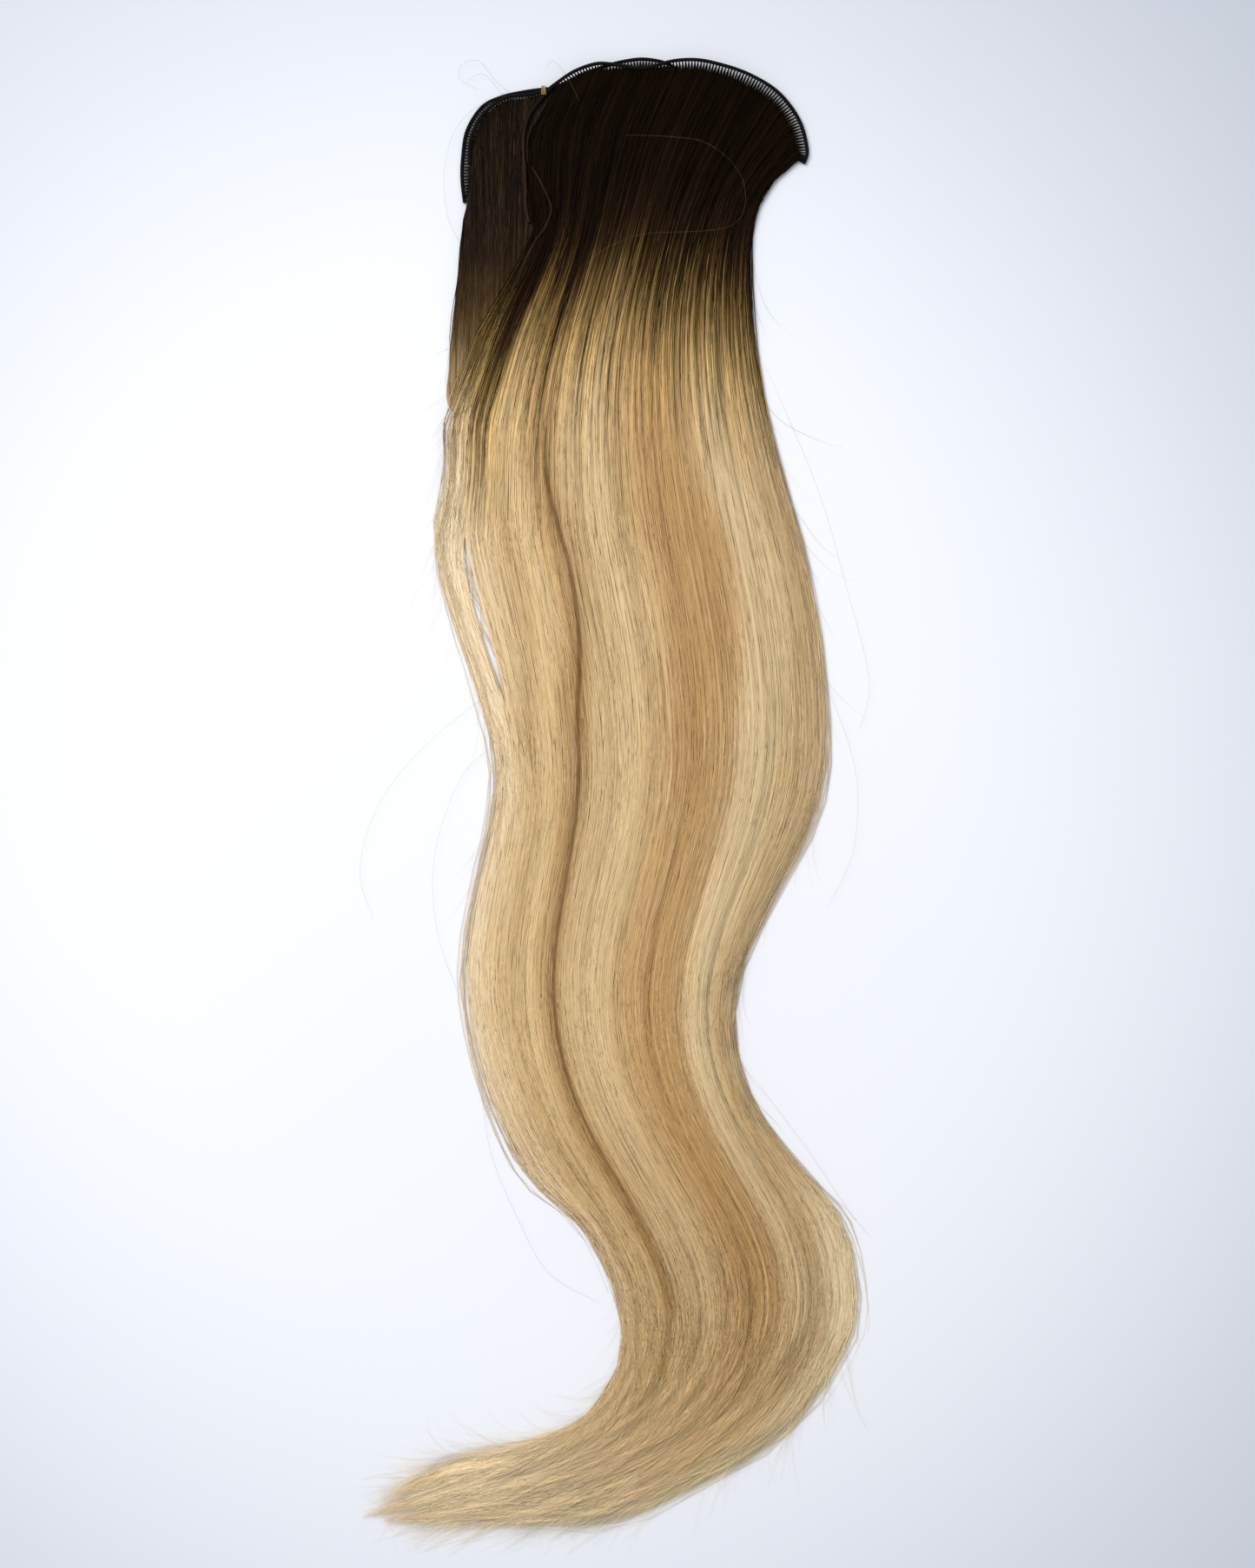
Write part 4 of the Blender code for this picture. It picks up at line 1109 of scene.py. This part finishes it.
class WEFT_OT_add_lower_layers(Operator):
    """Add the two lower layers of brown hair with their root combs"""

    bl_idname = "weft.add_lower_layers"
    bl_label = "Add lower layers"

    def execute(self, context):
        hair = context.scene.weft_hair
        radius = hair.strand_radius * 0.8
        material = lower_hair()
        for seed, (name, layer) in enumerate(lower_layers(), 11):
            body = new_object(body_mesh(name + "_layer_hair", layer, 90, 50, 0.94, 0.6), material)
            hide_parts("hair_" + name)
            mesh, teeth = comb_mesh(name + "_root_comb", layer, hair.comb_pitch, 0.03, 0.98)
            new_object(mesh, material)
            made = flow_strands(layer, hair.lower_strands, 16, seed, (0.0, 0.002), (0.7, 1.0), radius, teeth)
            strand_piece(name + "_layer_strands", *made, material, "shadow_hair", False)
        return {"FINISHED"}


class WEFT_OT_add_bundle(Operator):
    """Add the body of the front layer and bundle, with its locks and the slit beside the side lock"""

    bl_idname = "weft.add_bundle"
    bl_label = "Add bundle"

    def execute(self, context):
        mesh = body_mesh("front_bundle", front_layer(), 190, 125, 0.90)
        body = new_object(mesh, bundle_hair("streaked_bundle_hair", True))
        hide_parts("hair_front")
        return {"FINISHED"}


class WEFT_OT_add_strands(Operator):
    """Add the front comb, its root strands and the strands along the bundle"""

    bl_idname = "weft.add_strands"
    bl_label = "Add strands"

    def execute(self, context):
        hair = context.scene.weft_hair
        radius = hair.strand_radius
        layer = front_layer()
        material = bundle_hair("streaked_strand_hair", False)
        mesh, teeth = comb_mesh("front_root_comb", layer, hair.comb_pitch, 0.0, 1.0)
        new_object(mesh, material)
        made = flow_strands(layer, hair.root_strands, 32, 21, (0.0, 0.001), (0.35, 0.95), radius, teeth)
        strand_piece("front_root_strands", *made, material, "blond_hair")
        for k in (1, 2):
            made = flow_strands(
                layer, hair.length_strands, 32, 30 + k, (0.02, 0.45), (0.70, 0.970), radius, None, 0.035, 0.014
            )
            strand_piece("front_length_strands_%d" % k, *made, material, "blond_hair")
        return {"FINISHED"}


class WEFT_OT_add_loose_hairs(Operator):
    """Add the wispy tail, the fringe along both sides and the loose hairs that curl away"""

    bl_idname = "weft.add_loose_hairs"
    bl_label = "Add loose hairs"

    def execute(self, context):
        hair = context.scene.weft_hair
        radius = hair.loose_radius
        layer = front_layer()
        ground = Ground(layer)
        material = bundle_hair("streaked_strand_hair", False)
        rng = np.random.default_rng(51)
        count = hair.tail_wisps
        u0 = rng.uniform(0.01, 0.99, count)
        v0 = 0.74 + 0.21 * rng.uniform(0, 1, count) ** 0.8
        lengths = np.minimum(rng.uniform(0.020, 0.055, count), (1 - v0) * layer.length + 0.003)
        spread = 0.03 + 0.10 * ease((v0 - 0.80) / 0.12)
        towards_tip = 0.24 * np.clip(1 - u0 / 0.6, 0, 1)
        made = wisps(layer, ground, u0, v0, lengths, spread, 52, radius * 0.9, 6.0, towards_tip)
        strand_piece("tail_wisps", *made, material, "blond_hair")
        count = hair.fringe_wisps
        side = rng.integers(0, 2, count)
        u0 = np.abs(side - 0.10 * rng.uniform(0, 1, count))
        v0 = 0.70 + 0.28 * rng.uniform(0, 1, count) ** 0.7
        made = wisps(layer, ground, u0, v0, rng.uniform(0.008, 0.030, count), 0.24, 54, radius * 0.38, 24.0)
        strand_piece("tail_fringe", *made, material, "blond_hair")
        made = tip_strands(ground, hair.tip_strands, radius * 1.1)
        strand_piece("tip_locks", *made, material, "blond_hair")
        count = hair.side_wisps
        side = rng.uniform(0, 1, count) < 0.45
        u0 = np.where(side, 1 - 0.02 * rng.uniform(0, 1, count), 0.02 * rng.uniform(0, 1, count))
        v0 = 0.10 + np.where(side, 0.70, 0.36) * rng.uniform(0, 1, count)
        made = wisps(layer, ground, u0, v0, rng.uniform(0.015, 0.045, count), 0.08, 53, radius * 0.45, 12.0)
        strand_piece("side_wisps", *made, material, "blond_hair")
        t = np.linspace(0, 1, 60)
        ends = np.clip(6 * np.minimum(t, 1 - t) + 0.4, 0, 1)
        for name, routes, dark, light, thickness in (
            ("loose_hairs", LOOSE_HAIRS, (96, 72, 44), (176, 146, 102), 0.36),
            ("pale_hairs", PALE_HAIRS, (236, 222, 188), (252, 246, 230), 1.1),
        ):
            xy = np.stack([curve(route, len(t)) for route in routes])
            height, u, v = ground.under(xy)
            z = smooth(height, 6) + 0.0008 + 0.0010 * np.sin(math.pi * t)
            paths = np.concatenate([xy, z[..., None]], -1)
            radii = np.broadcast_to(radius * thickness * ends, u.shape)
            material = thread_material(name, dark, light, 90.0, 0.5)
            strand_piece(name, paths, radii, np.linspace(-1, 1, len(paths)), u, v, material, "blond_hair")
        return {"FINISHED"}


class WEFT_OT_add_sewn_edges(Operator):
    """Add the three sewn edges as wound black cord"""

    bl_idname = "weft.add_sewn_edges"
    bl_label = "Add sewn edges"

    def execute(self, context):
        black = ((4, 4, 5), (19, 18, 21), 3000.0, 0.65)
        plain = thread_material("black_wound_thread", *black)
        folded = thread_material("wound_thread_of_the_fold", *black, True)
        fold = edge_line(FOLD_LINE, EDGE_POINTS // 2)
        front = np.concatenate([fold, edge_line(FRONT_LINE)])
        front_lifts = np.concatenate([np.full(len(fold), FRONT_LIFT), front_lift(np.linspace(0, 1, EDGE_POINTS))])
        for name, line, lift, material in (
            ("back", edge_line(BACK_LINE), 0.0, plain),
            ("middle", edge_line(MIDDLE_LINE), MIDDLE_LIFT, plain),
            ("front", front, front_lifts, folded),
        ):
            line = np.column_stack([line, np.broadcast_to(lift + BAND_RADIUS, len(line))])
            length = distances(line)[-1]
            points, faces = rope(even(line, int(length / CORD_STEP)), BAND_RADIUS, length / CORD_WIND, 0.16)
            piece = new_object(make_mesh(name + "_sewn_edge", points, faces), material)
            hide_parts(name + "_band")
        return {"FINISHED"}


class WEFT_OT_add_fold_seam(Operator):
    """Add the knotted brown seam down the fold"""

    bl_idname = "weft.add_fold_seam"
    bl_label = "Add fold seam"

    def execute(self, context):
        material = thread_material("brown_knotted_thread", (18, 11, 7), (54, 36, 24), 2500.0, 0.6)
        ground = Ground(front_layer())
        count = 300
        start = 90
        route = through([(*place(a, b), knot) for a, b, knot in SEAM_LINE], count)
        line, knots = route[:, :2], route[:, 2]
        second = line + np.linspace(0, 1, count)[:, None] ** 2 * np.array([0.0009, 0.0005])
        joined = [rope_on(ground, line, 0.00050, knots), rope_on(ground, second[start:], 0.00042, knots[start:])]
        for stitches, radius in ((SEAM_STITCHES, 0.00036), (FOLD_STITCHES, 0.00030)):
            joined.append(rope_on(ground, curve(stitches, 160), radius, 0.4))
        piece = new_object(merged_mesh("knotted_fold_seam", joined), material)
        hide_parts("fold_seam")
        return {"FINISHED"}


class WEFT_OT_add_thread_tab(Operator):
    """Add the gold thread tab over the sewn edge"""

    bl_idname = "weft.add_thread_tab"
    bl_label = "Add thread tab"

    def execute(self, context):
        material = thread_material("gold_thread_tab", (96, 78, 40), (182, 156, 96), 4000.0, 0.45)
        low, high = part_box("thread_tab")
        passes = 5
        radius = (high[0] - low[0]) / passes / 2
        t = np.linspace(-1, 1, 24)
        parts = []
        for k in range(passes):
            x = low[0] + radius * (2 * k + 1) + 0.0001 * np.sin(3 * t + k)
            y = (low[1] + high[1]) / 2 + t * ((high[1] - low[1]) / 2 - radius)
            parts.append(rope(np.column_stack([x, y, high[2] - radius - 0.0007 * t**2]), radius, 5, 0.25, 8))
        piece = new_object(merged_mesh("gold_tab", parts), material)
        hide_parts("thread_tab")
        return {"FINISHED"}


class WEFT_OT_add_stage(Operator):
    """Add the pale table, the softbox, the sky light and the camera above"""

    bl_idname = "weft.add_stage"
    bl_label = "Add stage"

    def execute(self, context):
        scene = context.scene
        look = scene.weft_looks
        bpy.ops.mesh.primitive_grid_add(x_subdivisions=8, y_subdivisions=8, size=6.0, location=(0, 0, -0.0002))
        table = context.object
        table.name = "pale_table"
        material, tree, shader = shader_of("pale_table", 0.75, 0.2)
        spot = add_node(tree, "ShaderNodeTexCoord").outputs["Object"]
        cloud = add_node(tree, "ShaderNodeTexNoise", {"Vector": spot, "Scale": 2.5, "Detail": 2.0}).outputs["Fac"]
        # Painted light: the table's colour falls from a bright spot to a bluish painted shade towards its edges
        inputs = {"Vector": spot, "Location": TABLE_SHIFT, "Scale": TABLE_SCALE}
        moved = add_node(tree, "ShaderNodeMapping", inputs).outputs[0]
        away = add_node(tree, "ShaderNodeVectorMath", {0: moved}, operation="LENGTH").outputs["Value"]
        away = (Value(tree, away) + Value(tree, cloud) * 0.02).ramp(*TABLE_PAINTED_LIGHT_FALL)
        edge = [c * look.painted_table_falloff * tint for c, tint in zip(look.table_colour, TABLE_PAINTED_SHADE_TINT)]
        tree.links.new(mix(tree, away, [*look.table_colour, 1.0], [*edge, 1.0]), shader.inputs["Base Color"])
        table.data.materials.append(material)
        world = bpy.data.worlds.new("studio_sky")
        world.use_nodes = True
        sky = world.node_tree.nodes["Background"].inputs
        sky["Color"].default_value = (0.93, 0.96, 1.0, 1.0)
        sky["Strength"].default_value = 0.62
        scene.world = world
        lamp = bpy.data.lights.new("softbox", "AREA")
        lamp.shape = "RECTANGLE"
        lamp.size = 1.2
        lamp.size_y = 1.0
        lamp.energy = look.lamp_power
        lamp.color = (1.0, 0.985, 0.96)
        box = bpy.data.objects.new("softbox", lamp)
        box.location = (-0.75, 0.75, 1.35)
        box.rotation_euler = (math.radians(-27), math.radians(-27), 0)
        scene.collection.objects.link(box)
        camera = bpy.data.cameras.new("overhead_camera")
        camera.sensor_fit = "VERTICAL"
        camera.sensor_height = 36.0
        camera.lens = 70.0
        eye = bpy.data.objects.new("overhead_camera", camera)
        x = (FRAME_PIXELS[0] / 2 - WEFT_CENTRE_PIXEL[0]) * PIXEL + ORIGIN[0]
        y = (WEFT_CENTRE_PIXEL[1] - FRAME_PIXELS[1] / 2) * PIXEL + ORIGIN[1]
        eye.location = (x, y, FRAME_PIXELS[1] * PIXEL * camera.lens / camera.sensor_height)
        scene.collection.objects.link(eye)
        scene.camera = eye
        scene.view_settings.view_transform = "Standard"
        return {"FINISHED"}


class WEFT_PT_panel(Panel):
    """Sizes, finishes and pieces of the hair weft"""

    bl_label = "Folded Hair Weft"
    bl_idname = "WEFT_PT_panel"
    bl_space_type = "VIEW_3D"
    bl_region_type = "UI"
    bl_category = "Weft"

    def draw(self, context):
        layout = self.layout
        for group in (context.scene.weft_hair, context.scene.weft_looks):
            column = layout.column(align=True)
            for key in group.__annotations__:
                column.prop(group, key)
        column = layout.column(align=True)
        for operator in PIECES:
            column.operator(operator.bl_idname)


PIECES = (
    WEFT_OT_add_lower_layers,
    WEFT_OT_add_bundle,
    WEFT_OT_add_strands,
    WEFT_OT_add_loose_hairs,
    WEFT_OT_add_sewn_edges,
    WEFT_OT_add_fold_seam,
    WEFT_OT_add_thread_tab,
    WEFT_OT_add_stage,
)
CLASSES = (WeftHair, WeftLooks, *PIECES, WEFT_PT_panel)


def register():
    for cls in CLASSES:
        bpy.utils.register_class(cls)
    bpy.types.Scene.weft_hair = PointerProperty(type=WeftHair)
    bpy.types.Scene.weft_looks = PointerProperty(type=WeftLooks)


def unregister():
    del bpy.types.Scene.weft_looks
    del bpy.types.Scene.weft_hair
    for cls in reversed(CLASSES):
        bpy.utils.unregister_class(cls)


def main():
    register()
    bpy.ops.weft.add_lower_layers()
    bpy.ops.weft.add_bundle()
    bpy.ops.weft.add_strands()
    bpy.ops.weft.add_loose_hairs()
    bpy.ops.weft.add_sewn_edges()
    bpy.ops.weft.add_fold_seam()
    bpy.ops.weft.add_thread_tab()
    bpy.ops.weft.add_stage()


if __name__ == "__main__":
    main()
